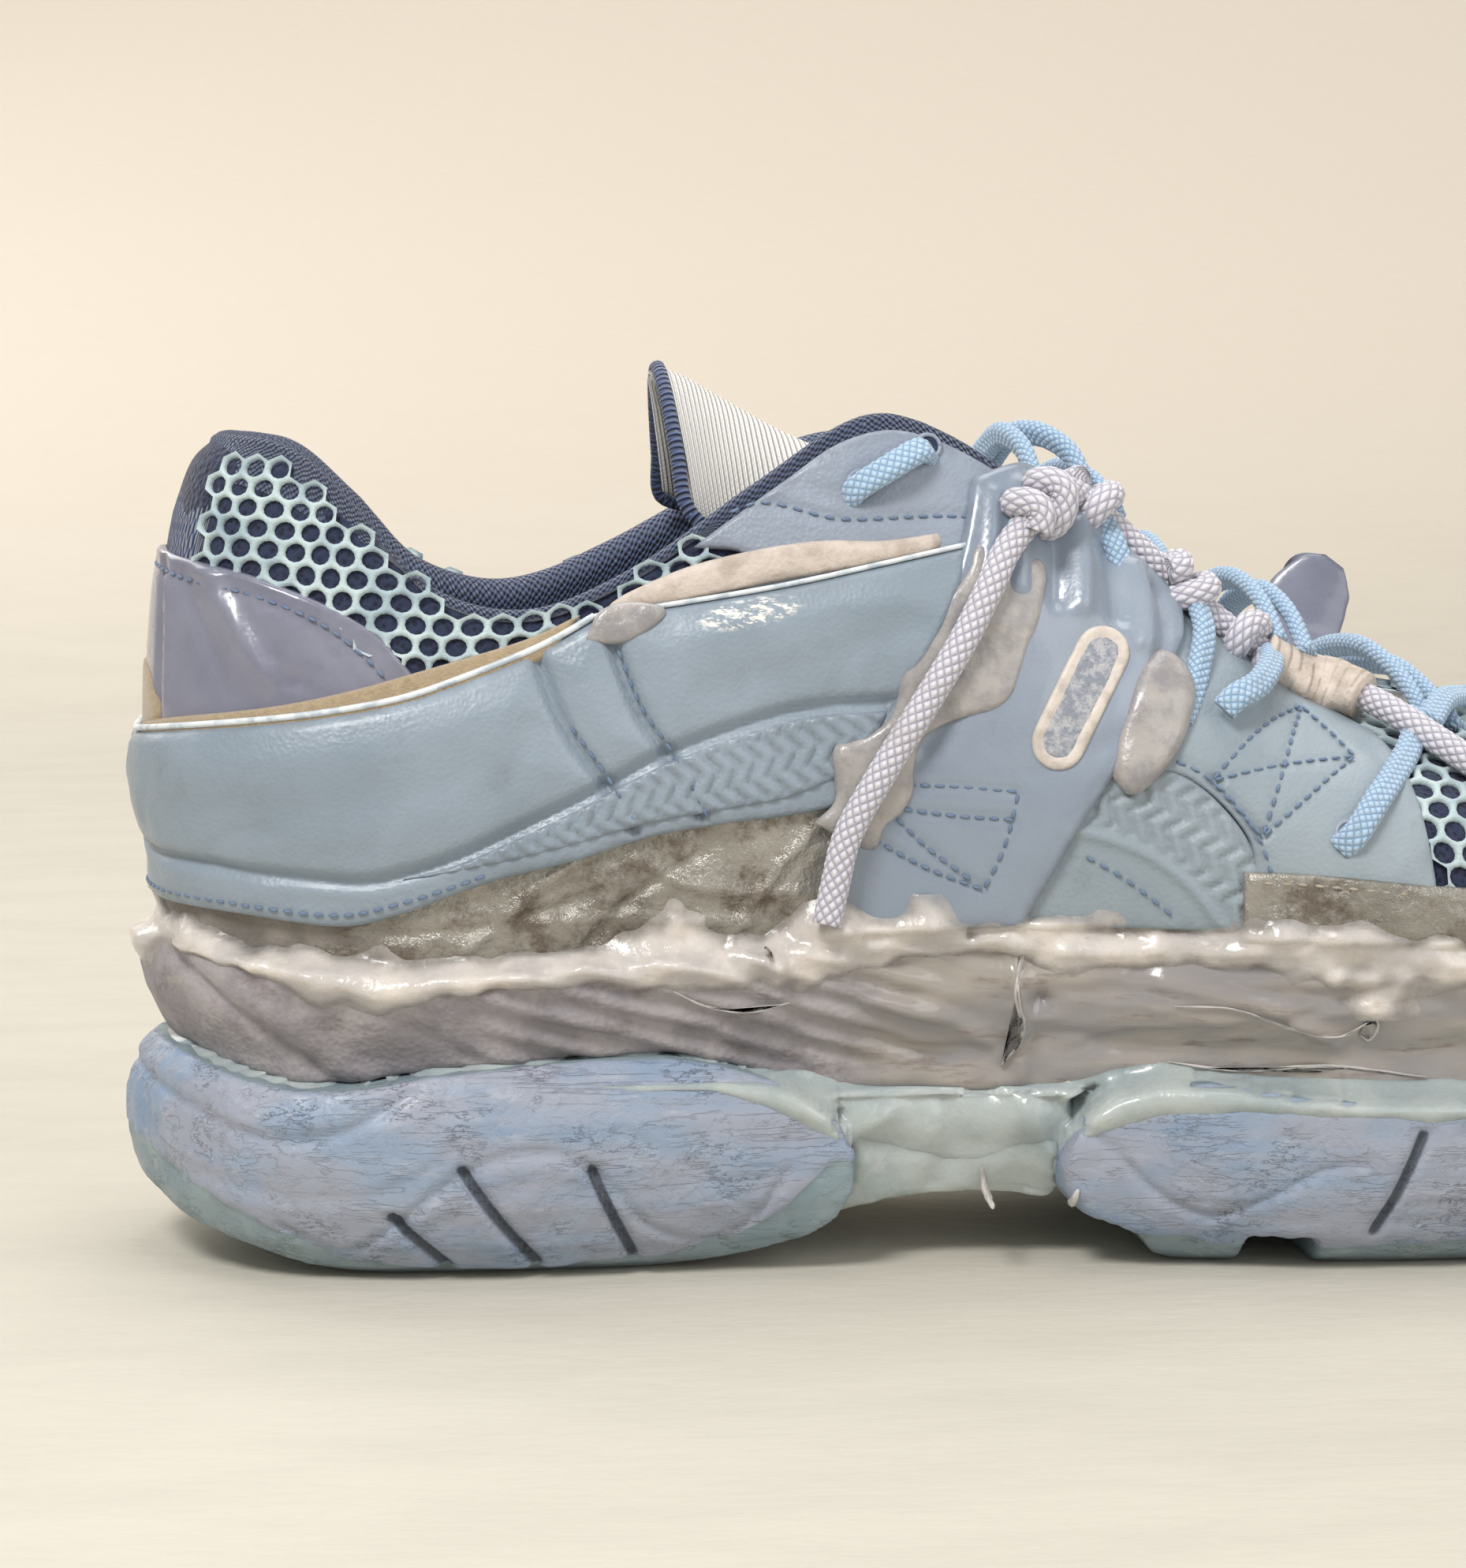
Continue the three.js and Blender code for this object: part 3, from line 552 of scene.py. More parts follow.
class Pattern:
    # flat pattern coordinates: girth from the heel's centre line, positive on the lateral side, and height
    # along the surface from the feather line, both in millimetres
    def __init__(self):
        self.sides = np.linspace(-1, 1, 721)
        rises = np.linspace(0, 1.2, 97)
        points = lastSkin(*np.meshgrid(self.sides, rises, indexing="ij"))
        level = np.array([[np.interp(74, row[:81, 2], row[:81, axis]) for axis in (0, 1)] for row in points])
        girth = np.concatenate([[0], np.cumsum(np.linalg.norm(np.diff(level, axis=0), axis=1))])
        self.girths = np.interp(0, self.sides, girth) - girth
        lengths = np.linalg.norm(np.diff(points, axis=1), axis=2)
        self.heights = np.concatenate([np.zeros((len(self.sides), 1)), np.cumsum(lengths, axis=1)], 1)
        self.steps = np.linspace(0, 130, 261)
        self.rises = np.array([np.interp(self.steps, row, rises) for row in self.heights])
        self.tops = self.heights[:, 80]

    def sideOf(self, girth):
        # girths past the toe come round to the other side
        low, high = self.girths[-1], self.girths[0]
        girth = (np.asarray(girth, float) - low) % (high - low) + low
        return np.interp(-girth, -self.girths, self.sides)

    def topHeight(self, girth):
        return np.interp(self.sideOf(girth), self.sides, self.tops)

    def at(self, girth, height):
        girth, height = np.broadcast_arrays(np.asarray(girth, float), np.asarray(height, float))
        side = self.sideOf(girth)
        column = (side + 1) / 2 * (len(self.sides) - 1)
        i = np.clip(column.astype(int), 0, len(self.sides) - 2)
        row = np.clip(height, 0, 129.9) / 130 * (len(self.steps) - 1)
        j = row.astype(int)
        a, b = column - i, row - j
        low = self.rises[i, j] * (1 - a) + self.rises[i + 1, j] * a
        high = self.rises[i, j + 1] * (1 - a) + self.rises[i + 1, j + 1] * a
        return lastSkin(side, low * (1 - b) + high * b)

    def normal(self, girth, height, reach=0.5):
        girth, height = np.asarray(girth, float), np.asarray(height, float)
        acrossIt = self.at(girth + reach, height) - self.at(girth - reach, height)
        upIt = self.at(girth, height + reach) - self.at(girth, np.maximum(height - reach, 0))
        return unit(np.cross(acrossIt, upIt))

    def lifted(self, girth, height, lift):
        return self.at(girth, height) + self.normal(girth, height) * np.asarray(lift, float)[..., None]


pattern = Pattern()
print("last laid out")


# shared making
def lumps(points, size, seed=0):
    # smooth noise from -1 to 1, the same each run
    spot = np.asarray(points, float) / size + seed * 17.31
    cell = np.floor(spot)
    k = spot - cell
    k = k * k * (3 - 2 * k)
    total = 0
    for corner in range(8):
        step = np.array([(corner >> axis) & 1 for axis in range(spot.shape[-1])])
        share = np.prod(np.where(step, k, 1 - k), axis=-1)
        code = np.sin((cell + step) @ np.array([127.1, 311.7, 74.7])[: spot.shape[-1]]) * 43758.5453
        total = total + share * (code - np.floor(code))
    return total * 2 - 1


def toLine(points, line):
    # distance of flat or solid points to a run of points
    points, line = np.asarray(points, float), np.asarray(line, float)
    nearest = np.full(len(points), 1e9)
    for start, end in zip(line[:-1], line[1:]):
        run = end - start
        k = np.clip(((points - start) @ run) / max(run @ run, 1e-12), 0, 1)
        nearest = np.minimum(nearest, np.linalg.norm(points - start - k[:, None] * run, axis=1))
    return nearest


def blend(first, second, start, end, at):
    return first * (end - at) / (end - start) + second * (at - start) / (end - start)


def smoothLine(points, step):
    # an even run of points along a smooth curve through the given ones
    points = np.asarray(points, float)
    if len(points) > 2:
        padded = np.vstack([2 * points[0] - points[1], points, 2 * points[-1] - points[-2]])
        spans = np.maximum(np.linalg.norm(np.diff(padded, axis=0), axis=1) ** 0.5, 1e-6)
        dense = []
        for i in range(1, len(padded) - 2):
            t = np.concatenate([[0], np.cumsum(spans[i - 1:i + 2])])
            k = np.linspace(t[1], t[2], 17)[:-1, None]
            a = [blend(padded[i - 1 + n], padded[i + n], t[n], t[n + 1], k) for n in range(3)]
            b = [blend(a[n], a[n + 1], t[n], t[n + 2], k) for n in range(2)]
            dense.append(blend(b[0], b[1], t[1], t[2], k))
        points = np.vstack(dense + [points[-1:]])
    lengths = np.concatenate([[0], np.cumsum(np.linalg.norm(np.diff(points, axis=0), axis=1))])
    count = max(2, int(round(lengths[-1] / step)) + 1)
    spots = np.linspace(0, lengths[-1], count)
    return np.stack([np.interp(spots, lengths, points[:, axis]) for axis in range(points.shape[1])], 1)


def outlineOf(edges, step):
    # edges are smooth runs that meet at the piece's corners
    return np.vstack([smoothLine(edge, step)[:-1] for edge in edges])


def insideOf(points, outline):
    inside = np.zeros(len(points), bool)
    for (x1, y1), (x2, y2) in zip(outline, np.roll(outline, -1, axis=0)):
        if y1 == y2:
            continue
        crosses = (points[:, 1] < y1) != (points[:, 1] < y2)
        inside ^= crosses & (points[:, 0] < (x2 - x1) * (points[:, 1] - y1) / (y2 - y1) + x1)
    return inside


def finishPiece(name, mesh, material, replaced=()):
    piece = bpy.data.objects.new(name, mesh)
    bpy.context.scene.collection.objects.link(piece)
    for one in material if isinstance(material, (list, tuple)) else [material]:
        mesh.materials.append(one)
    mesh.polygons.foreach_set("use_smooth", [True] * len(mesh.polygons))
    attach(piece, "root")
    if replaced:
        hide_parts(*replaced)
    return piece


def markPoints(mesh, marks):
    # one value to a vertex, for the finishes to read
    for key, values in marks.items():
        mesh.attributes.new(key, "FLOAT", "POINT").data.foreach_set("value", np.asarray(values, float))


def meshOf(name, points, faces, flat=None, marks=None):
    # points in the shoe's millimetres
    mesh = bpy.data.meshes.new(name)
    mesh.from_pydata(toScene(points).tolist(), [], [tuple(map(int, face)) for face in faces])
    mesh.update()
    if flat is not None:
        layer = mesh.uv_layers.new(name="flat")
        corners = np.empty(len(mesh.loops), int)
        mesh.loops.foreach_get("vertex_index", corners)
        layer.data.foreach_set("uv", (np.asarray(flat)[corners] / 10).ravel())
    markPoints(mesh, marks or {})
    return mesh


def edited(mesh, edit):
    # a mesh with bmesh edits made to it
    bm = bmesh.new()
    bm.from_mesh(mesh)
    edit(bm)
    bm.to_mesh(mesh)
    bm.free()
    return mesh


def soften(bm, factor):
    bmesh.ops.smooth_vert(
        bm, verts=bm.verts, factor=factor, use_axis_x=True, use_axis_y=True, use_axis_z=True
    )


def gridMesh(name, columns, rows, shape, closed=False, capped=False, flat=None):
    # a grid of that many cells, laid where shape(across 0..1, along 0..1) says, closed into a tube if asked
    bm = bmesh.new()
    bmesh.ops.create_grid(bm, x_segments=columns, y_segments=rows, size=0.5)
    spots = np.array([vert.co[:2] for vert in bm.verts]) + 0.5
    layer = bm.loops.layers.uv.new("flat")
    for face in bm.faces:
        for loop in face.loops:
            loop[layer].uv = (loop.vert.co.x + 0.5, loop.vert.co.y + 0.5)
    placed = toScene(shape(spots[:, 0], spots[:, 1]))
    if flat is not None:
        for face in bm.faces:
            for loop in face.loops:
                loop[layer].uv = flat(*loop[layer].uv)
    for vert, co in zip(bm.verts, placed):
        vert.co = co
    if closed:
        bmesh.ops.remove_doubles(bm, verts=bm.verts, dist=1e-6)
    if capped:
        bmesh.ops.holes_fill(bm, edges=[edge for edge in bm.edges if edge.is_boundary], sides=0)
    bmesh.ops.recalc_face_normals(bm, faces=bm.faces)
    mesh = bpy.data.meshes.new(name)
    bm.to_mesh(mesh)
    bm.free()
    return mesh


def framesAlong(path, up=None):
    # forward, side and up vectors along a path, turning as little as possible
    forward = unit(np.gradient(path, axis=0))
    if up is not None:
        sideways = unit(np.cross(forward, up))
        return forward, sideways, np.cross(sideways, forward)
    start = np.array([0, 0, 1.0]) if abs(forward[0][2]) < 0.9 else np.array([1.0, 0, 0])
    sideways = [unit(np.cross(forward[0], start))]
    for step in forward[1:]:
        sideways.append(unit(sideways[-1] - step * (sideways[-1] @ step)))
    sideways = np.array(sideways)
    return forward, sideways, np.cross(sideways, forward)


def tubeMesh(name, path, width, height=None, sides=10, up=None, bumps=None, taper=None):
    # a tube along a path; bumps(angle, distance) swells it, taper(0..1) thins it
    path = np.asarray(path, float)
    height = height or width
    forward, sideways, upward = framesAlong(path, up)
    lengths = np.concatenate([[0], np.cumsum(np.linalg.norm(np.diff(path, axis=0), axis=1))])

    def shape(around, along):
        i = np.round(along * (len(path) - 1)).astype(int)
        angle = around * 2 * math.pi
        swell = 1 + (bumps(angle, lengths[i]) if bumps else 0)
        if taper:
            swell = swell * taper(along)
        across = np.cos(angle) * width / 2 * swell
        over = np.sin(angle) * height / 2 * swell
        return path[i] + sideways[i] * across[:, None] + upward[i] * over[:, None]

    def flat(around, along):
        return along * lengths[-1] / 10, around / 10

    return gridMesh(name, sides, len(path) - 1, shape, closed=True, capped=True, flat=flat)


def joinMeshes(name, meshes):
    # several meshes as one
    bm = bmesh.new()
    for mesh in meshes:
        bm.from_mesh(mesh)
        bpy.data.meshes.remove(mesh)
    whole = bpy.data.meshes.new(name)
    bm.to_mesh(whole)
    bm.free()
    return whole


def cutPiece(
    name, edges, material, thick=1.4, under=0.06, rounded=1.0, step=1.9, relief=None,
    mirrored=False, replaced=(), slot=None, edgeStep=None,
):
    # a piece cut from a flat sheet and laid on the last; relief presses its seams and creases in
    outline = outlineOf(edges, edgeStep or min(step, 1.5))
    if mirrored:
        outline = (outline * (-1, 1))[::-1]
    following = np.roll(outline, -1, axis=0)
    if np.sum(outline[:, 0] * following[:, 1] - following[:, 0] * outline[:, 1]) < 0:
        outline = outline[::-1]
    boundary = np.vstack([outline, outline[:1]])
    extra = []
    run = unit(np.roll(outline, -1, axis=0) - np.roll(outline, 1, axis=0))
    inward = np.stack([-run[:, 1], run[:, 0]], 1)
    rings = [rounded * share for share in (0.18, 0.5, 1.0)]
    for depth in rings:
        ring = outline + inward * depth
        keep = (toLine(ring, boundary) > depth * 0.93) & insideOf(ring, outline)
        extra.append(ring[keep])
    low, high = outline.min(0), outline.max(0)
    gx, gy = np.meshgrid(np.arange(low[0], high[0], step), np.arange(low[1], high[1], step * 0.87))
    gx = gx + (np.arange(gx.shape[0]) % 2)[:, None] * step / 2
    fill = np.stack([gx.ravel(), gy.ravel()], 1)
    fill = fill[insideOf(fill, outline)]
    fill = fill[toLine(fill, boundary) > rings[-1] + step * 0.45]
    coords = np.vstack([outline] + extra + [fill])
    rim = [(n, (n + 1) % len(outline)) for n in range(len(outline))]
    result = geometry.delaunay_2d_cdt([Vector(p) for p in coords], rim, [], 1, 1e-5)
    flat = np.array([p[:] for p in result[0]])
    faces = np.array([face for face in result[2]])
    first, second = (flat[faces[:, n]] - flat[faces[:, 0]] for n in (1, 2))
    turn = first[:, 0] * second[:, 1] - first[:, 1] * second[:, 0]
    faces[turn < 0] = faces[turn < 0][:, ::-1]
    away = toLine(flat, boundary)
    profile = np.sqrt(np.clip(1 - (1 - np.clip(away / rounded, 0, 1)) ** 2, 0, 1))
    lift = under + thick * (0.3 + 0.7 * profile)
    skin = pattern.at(*flat.T)
    out = pattern.normal(*flat.T)
    if relief is not None:
        mirror = np.stack([np.abs(flat[:, 0]) if mirrored else flat[:, 0], flat[:, 1]], 1)
        lift = lift + relief(mirror, skin) * ease(0, rounded, away)
    # the underside is glued down, so only the edge's wall goes below the top
    known = {tuple(pair) for pair in np.vstack([faces[:, [0, 1]], faces[:, [1, 2]], faces[:, [2, 0]]])}
    walls, below = [], {}
    for p, q in known:
        if (q, p) not in known:
            p2, q2 = (below.setdefault(n, len(flat) + len(below)) for n in (p, q))
            walls.append((q, p, p2, q2))
    rimIndex = np.array(list(below))
    top, bottom = skin + out * lift[:, None], skin[rimIndex] + out[rimIndex] * under
    every = [tuple(face) for face in faces] + walls
    edge = bell(away / 2.2)
    marks = {"edge": np.concatenate([edge, edge[rimIndex]])}
    mesh = meshOf(name, np.vstack([top, bottom]), every, np.vstack([flat, flat[rimIndex]]), marks)
    return finishPiece(name, mesh, material, replaced)


stitchSettings = {"length": 1.9, "width": 0.62}


def capsule():
    bm = bmesh.new()
    bmesh.ops.create_uvsphere(bm, u_segments=6, v_segments=4, radius=0.5)
    verts = np.array([vert.co[:] for vert in bm.verts])
    faces = [[vert.index for vert in face.verts] for face in bm.faces]
    bm.free()
    return verts, faces


stitchShape = capsule()


def stitches(name, lines, lift, thread="threadBlue", pitch=2.5, mirrored=False):
    # short thread capsules along lines of the pattern
    length, width = stitchSettings["length"], stitchSettings["width"]
    verts, faces = stitchShape
    points, polygons, start = [], [], 0
    for line in lines:
        run = smoothLine(line, pitch)
        if mirrored:
            run = run * (-1, 1)
        middles = (run[:-1] + run[1:]) / 2
        centre = pattern.lifted(*middles.T, lift)
        out = pattern.normal(*middles.T)
        along = unit(pattern.at(*run[1:].T) - pattern.at(*run[:-1].T))
        across = np.cross(out, along)
        for c, o, a, s in zip(centre, out, along, across):
            points.append(
                c + verts[:, :1] * length * a + verts[:, 1:2] * width * s + verts[:, 2:] * width * o
            )
            polygons += [[n + start for n in face] for face in faces]
            start += len(verts)
    finishPiece(name, meshOf(name, np.vstack(points), polygons), finishes[thread])


def patternLine(line, lift, mirrored):
    run = smoothLine(line, 1.5)
    if mirrored:
        run = run * (-1, 1)
    return pattern.lifted(*run.T, lift), pattern.normal(*run.T)


def fromNode(name):
    # a merged copy of a CAD node
    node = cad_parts[name]
    bm = bmesh.new()
    bm.from_mesh(node.data)
    bm.transform(node.matrix_world)
    bmesh.ops.remove_doubles(bm, verts=bm.verts, dist=1e-5)
    mesh = bpy.data.meshes.new(name + "Copy")
    bm.to_mesh(mesh)
    bm.free()
    return mesh


def remeshed(mesh, voxel, smoothing):
    # one even skin of small faces over a mesh, voxel in millimetres
    holder = bpy.data.objects.new("remeshing", mesh)
    bpy.context.scene.collection.objects.link(holder)
    modifier = holder.modifiers.new("even", "REMESH")
    modifier.mode, modifier.voxel_size = "VOXEL", voxel / 1000
    done = bpy.data.meshes.new_from_object(holder.evaluated_get(bpy.context.evaluated_depsgraph_get()))
    bpy.data.objects.remove(holder)
    return edited(done, lambda bm: [soften(bm, 0.5) for _ in range(smoothing)])


def shoePoints(mesh):
    co = np.empty(len(mesh.vertices) * 3)
    mesh.vertices.foreach_get("co", co)
    normals = np.empty(len(mesh.vertices) * 3)
    mesh.vertices.foreach_get("normal", normals)
    return co.reshape(-1, 3) * 1000 - shoeOrigin, normals.reshape(-1, 3)


def press(points, line, depth, width):
    # a soft trough (negative) or ridge along a line
    return depth * bell(toLine(points, smoothLine(line, 2.0)) / width)


def pressed(points, marks):
    # several troughs and ridges, each given as a line, its depth and its width
    return sum(press(points, line, depth, width) for line, depth, width in marks)


def bothSides(edges):
    # the lateral half's edges from the heel's centre line round to it again, then the medial half's
    return edges + [[(-u, w) for u, w in reversed(edge)] for edge in reversed(edges)]


shoeSides = (("outer", False), ("inner", True))  # what a piece's name ends with, and whether it is mirrored


# upper: one hollow shell, open at the collar and the throat
upperSettings = {"wall": 2.4, "collarPadding": 3.6, "columns": 300, "rows": 96}


def upperShape(s):
    def skinNormal(side, rise):
        step = 0.003
        sideways = lastSkin(side + step, rise) - lastSkin(side - step, rise)
        upward = lastSkin(side, rise) - lastSkin(side, rise - step)
        return unit(np.cross(upward, sideways))

    def shape(across, along):
        side = across * 2 - 1
        rise = np.interp(along, (0, 0.5, 0.56, 0.99, 1), (0, 1, 1, 0.03, 0))
        inside = ease(0.5, 0.56, along) * (along < 0.999)
        skin, top, out = lastSkin(side, rise), lastSkin(side, 1.0), skinNormal(side, rise)
        drop = top[:, 2] - skin[:, 2]
        padding = s["collarPadding"] * ease(24, 6, drop) * ease(178, 165, skin[:, 0])
        wall = s["wall"] + padding
        over = (
            np.sin(np.clip((along - 0.5) / 0.06, 0, 1) * math.pi) * wall * 0.2
            - 1.6 * ease(0.42, 0.5, along) * ease(0.66, 0.56, along)
        )
        ridge = ease(ridgeKey - 1.5, ridgeKey, np.abs(side) * lastKey)
        over = over * (1 - ridge)
        place = skin - out * (inside * wall)[:, None]
        place[:, 2] += over
        soft = lumps(place, 17) * 0.5 + lumps(place, 7, 3) * 0.2
        return place + out * (soft * (inside > 0.5) * ease(0, 8, place[:, 2] - 60))[:, None]

    return shape


shell = gridMesh(
    "upperShell", upperSettings["columns"], upperSettings["rows"], upperShape(upperSettings), closed=True
)
shell.materials.append(finishes["dark"])
shell.materials.append(finishes["lining"])
for polygon in shell.polygons:
    centre = np.array(polygon.center) * 1000 - shoeOrigin
    outward = np.array([centre[0] - np.clip(centre[0], 55, 230), centre[1] - 2, 0.0])
    faces = np.array(polygon.normal) @ outward
    polygon.material_index = 0 if faces > 0 else 1
finishPiece("upper_shell", shell, [], ["upper"])
print("upper shell made")


# open mesh with hexagonal holes
meshSettings = {"pitch": 5.1, "row": 3.5, "thread": 0.95, "thickness": 0.85, "unevenness": 0.35}


def hexMesh(name, edges, s, mirrored=False):
    outline = outlineOf(edges, 2.0)
    low, high = outline.min(0), outline.max(0)
    pitch, row = s["pitch"], s["row"]
    points, faces, heights = [], [], []
    corners = np.arange(12) * math.pi / 6 + math.pi / 2
    hexagon = []
    wide, tall = pitch / 2, row / 1.5
    for n in range(6):
        turns = (math.pi / 2 + n * math.pi / 3, math.pi / 2 + (n + 1) * math.pi / 3)
        a, b = (np.array([math.cos(t) / math.cos(math.pi / 6) * wide, math.sin(t) * tall]) for t in turns)
        hexagon += [a, (a + b) / 2]
    hexagon = np.array(hexagon)
    gap = s["thread"] * 1.25
    hole = np.stack([np.cos(corners) * (pitch - gap) / 2, np.sin(corners) * (row * 1.24 - gap) / 2], 1)
    for j in range(int((high[1] - low[1]) / row) + 2):
        for i in range(int((high[0] - low[0]) / pitch) + 2):
            centre = low + (i * pitch + (j % 2) * pitch / 2, j * row)
            if not insideOf(centre[None], outline)[0]:
                continue
            start = len(points)
            middle = hexagon * 0.42 + hole * 0.58
            for ring, height in ((hexagon, 1.0), (middle, 0.86), (hole, 0.3), (hole * 1.06, -0.35)):
                points += list(centre + ring)
                heights += [height * s["thickness"]] * 12
            for level in range(3):
                for n in range(12):
                    a, b = start + level * 12 + n, start + level * 12 + (n + 1) % 12
                    faces.append((b, a, a + 12, b + 12))
    points, heights = np.array(points), np.array(heights)
    points = points + s["unevenness"] * np.stack([lumps(points, 11, 1), lumps(points, 11, 2)], 1)
    if mirrored:
        points, faces = points * (-1, 1), [face[::-1] for face in faces]
    placed = pattern.lifted(*points.T, heights + 0.35)
    mesh = edited(
        meshOf(name, placed, faces), lambda bm: bmesh.ops.remove_doubles(bm, verts=bm.verts, dist=0.00005)
    )
    finishPiece(name, mesh, finishes["mesh"])


def collarEdges(sign):
    topLine = []
    for u in (21, 24, 32, 40, 48, 56, 65, 75, 85, 95, 105, 116):
        topLine.append((u, float(pattern.topHeight(sign * u)) - 2.8 - 2.4 * (u < 58)))
    return [topLine, [(116, 64), (95, 56), (66, 47)], [(66, 47), (48, 58), (25, 63), (22, 65)]]


hexMesh("collar_mesh_outer", collarEdges(1), meshSettings)
hexMesh("collar_mesh_inner", collarEdges(-1), meshSettings, mirrored=True)
toeEnd = float(pattern.girths[0])
wholeWay = toeEnd - float(pattern.girths[-1])
toeTop = [(u, float(pattern.topHeight(u)) - 0.4) for u in np.linspace(205, wholeWay - 205, 40)]
toeEdges = [
    toeTop, [toeTop[-1], (wholeWay - 218, 50), (wholeWay - 230, 30), (wholeWay - 238, 6)],
    [(wholeWay - 238, 6), (toeEnd, 3), (238, 6)], [(238, 6), (230, 30), (218, 50), toeTop[0]]
]
hexMesh("toe_mesh", toeEdges, {**meshSettings, "row": 4.0})
ridge = np.array([lastSkin(-key / lastKey, 1.0) for key in np.linspace(ridgeKey - 0.05, lastKey - 0.9, 40)])
seam = tubeMesh(
    "toeSeam", smoothLine(ridge + (0, 0, 0.5), 1.0), 5.5, 2.6, sides=14, up=np.array([0.1, 0, 1.0])
)
finishPiece("toe_seam", seam, finishes["eyestay"])
print("mesh made")


# navy binding: a knitted fold over the collar's and the throat's edge
bindingSettings = {"outside": 5.5, "inside": 15.0, "padding": 3.6, "toKey": 13.9}


def bindingMesh(name, s, sign):
    def shape(across, along):
        side = sign * across * s["toKey"] / lastKey
        top = lastSkin(side, 1.0)
        up = unit(top - lastSkin(side, 0.97))
        sideways = lastSkin(side + 0.003, 1.0) - lastSkin(side - 0.003, 1.0)
        out = unit(np.cross(up, sideways))
        girth = np.abs(np.interp(side, pattern.sides, pattern.girths))
        drop = (
            s["outside"] + 18 * ease(25, 19, girth) + 2.5 * ease(62, 48, girth)
            - 5.0 * ease(52, 64, girth) * ease(120, 113, girth)
        )
        padding = s["padding"] * ease(178, 165, top[:, 0]) + 2.6
        turn = np.clip((along - 0.3) / 0.25, 0, 1) * math.pi
        down = (
            np.where(along < 0.3, drop * (1 - along / 0.3), 0)
            + np.where(along > 0.55, (along - 0.55) / 0.45 * s["inside"], 0)
        )
        radius = padding / 2 + 0.75
        centre = top - out * (padding / 2)[:, None] - np.array([0, 0, 2.4])
        place = (
            centre + out * (np.cos(turn) * radius)[:, None]
            + np.array([0, 0, 1.0]) * (np.sin(turn) * radius * 0.7)[:, None]
        )
        direction = np.where(
            (along < 0.3)[:, None], lastSkin(side, np.clip(1 - down / 55, 0, 1)) - top,
            np.array([0, 0, -1.0]) * down[:, None]
        )
        place = place + direction
        soft = lumps(place, 9, 5) * 0.35 + lumps(place, 3.2, 6) * 0.12
        return place + out * soft[:, None]

    mesh = gridMesh(name, 260, 34, shape, flat=lambda a, b: (a * 26, b * 3.6))
    finishPiece(name, mesh, finishes["navy"])


bindingMesh("binding_outer", bindingSettings, -1)
bindingMesh("binding_inner", bindingSettings, 1)
print("binding made")


# heel counter: glossy moulding with slanted ribs
counterTop = [
    (0, 66.6), (4.5, 66.4), (25.6, 64.9), (36.4, 63.6), (49.7, 59.8), (58.4, 55.7), (63.2, 50.9), (66.5, 47)
]
counterStitch = [(0, 63.4), (8.9, 63.1), (26.2, 61.4), (36.7, 60.4), (48.6, 56.6), (56.4, 51.7), (61.5, 46.5)]
counterEdges = [counterTop, [(66.5, 47), (60, 42), (37, 36), (14, 33), (0, 32)]]

counterRibs = [
    (counterStitch, -0.45, 0.8),
    ([(11.1, 65.7), (13.6, 55.3), (14.1, 40)], -0.7, 1.0),
    ([(14.6, 62), (17, 53), (18, 40)], 0.5, 1.6),
    ([(25.3, 63.8), (31.6, 57.1), (39, 48)], 0.9, 2.2),
    ([(29.5, 62), (36, 55), (43, 47)], -0.6, 1.1),
    ([(21, 60), (27, 52), (32, 44)], -0.5, 1.4),
    ([(41.3, 47.3), (46.9, 47.6), (46.4, 42.3), (41.6, 42.4), (41.3, 47.3)], -0.4, 0.6),
]
counterDent = [(45, 57), (53, 50), (58, 45)]
counterSettings = {"thickness": 1.4, "ribs": 1.4, "dent": -0.5, "lumps": 0.25, "stitchLift": 1.35}


def counterRelief(flat, skin):
    s = counterSettings
    ribs = pressed(flat, counterRibs) * s["ribs"]
    return ribs + press(flat, counterDent, s["dent"], 1.3) + lumps(skin, 12) * s["lumps"]


cutPiece(
    "heel_counter_moulding", bothSides(counterEdges), finishes["counter"],
    thick=counterSettings["thickness"], under=0.15, rounded=1.2, relief=counterRelief,
    replaced=["heel_counter"], slot="counter", step=1.6
)
for suffix, flip in shoeSides:
    stitches("counter_stitch_" + suffix, [counterStitch], counterSettings["stitchLift"], mirrored=flip)
suedeEdges = [[(0, 47), (9, 45), (16, 38)], [(16, 38), (8, 33), (0, 33)]]
cutPiece("heel_suede", bothSides(suedeEdges), finishes["felt"], thick=1.3, under=0.8, rounded=1.0)
print("counter made")


# quarter panel: thick padded leather that wraps the heel
whiteEdge = [(0, 34.4), (15, 36.2), (37.5, 40), (61.4, 44.9), (77, 49.9), (88.2, 53.9), (95.9, 57.4)]
quarterTop = [(95.9, 57.4), (112.6, 58.8), (127.8, 60.3), (140.2, 62.3), (157, 65.4)]
quarterFront = [(157, 65.4), (157, 60), (150.5, 46), (145, 38.9), (140.6, 30), (142, 23.3)]
quarterLow = [
    (142, 23.3), (127, 21.9), (114.2, 21.5), (102.8, 20.3), (90.9, 17.6), (75.9, 14.7), (60.6, 9.1),
    (52.8, 6.9), (36.7, 7.2), (15, 6.6), (0, 6.6)
]
quarterEdges = [whiteEdge, quarterTop, quarterFront, quarterLow]
groove = [
    (0, 22.5), (2, 17.4), (10, 15.4), (27.6, 15.2), (45.5, 14.8), (57, 14.9), (62.2, 16.3), (70.7, 19.1),
    (83.6, 24.5), (96.2, 29.6), (106.1, 33.9), (127.3, 39.4), (144.2, 39.8)
]
bandA = [(84.8, 53.3), (90.4, 38.5), (96.2, 30), (101.2, 20.9)]
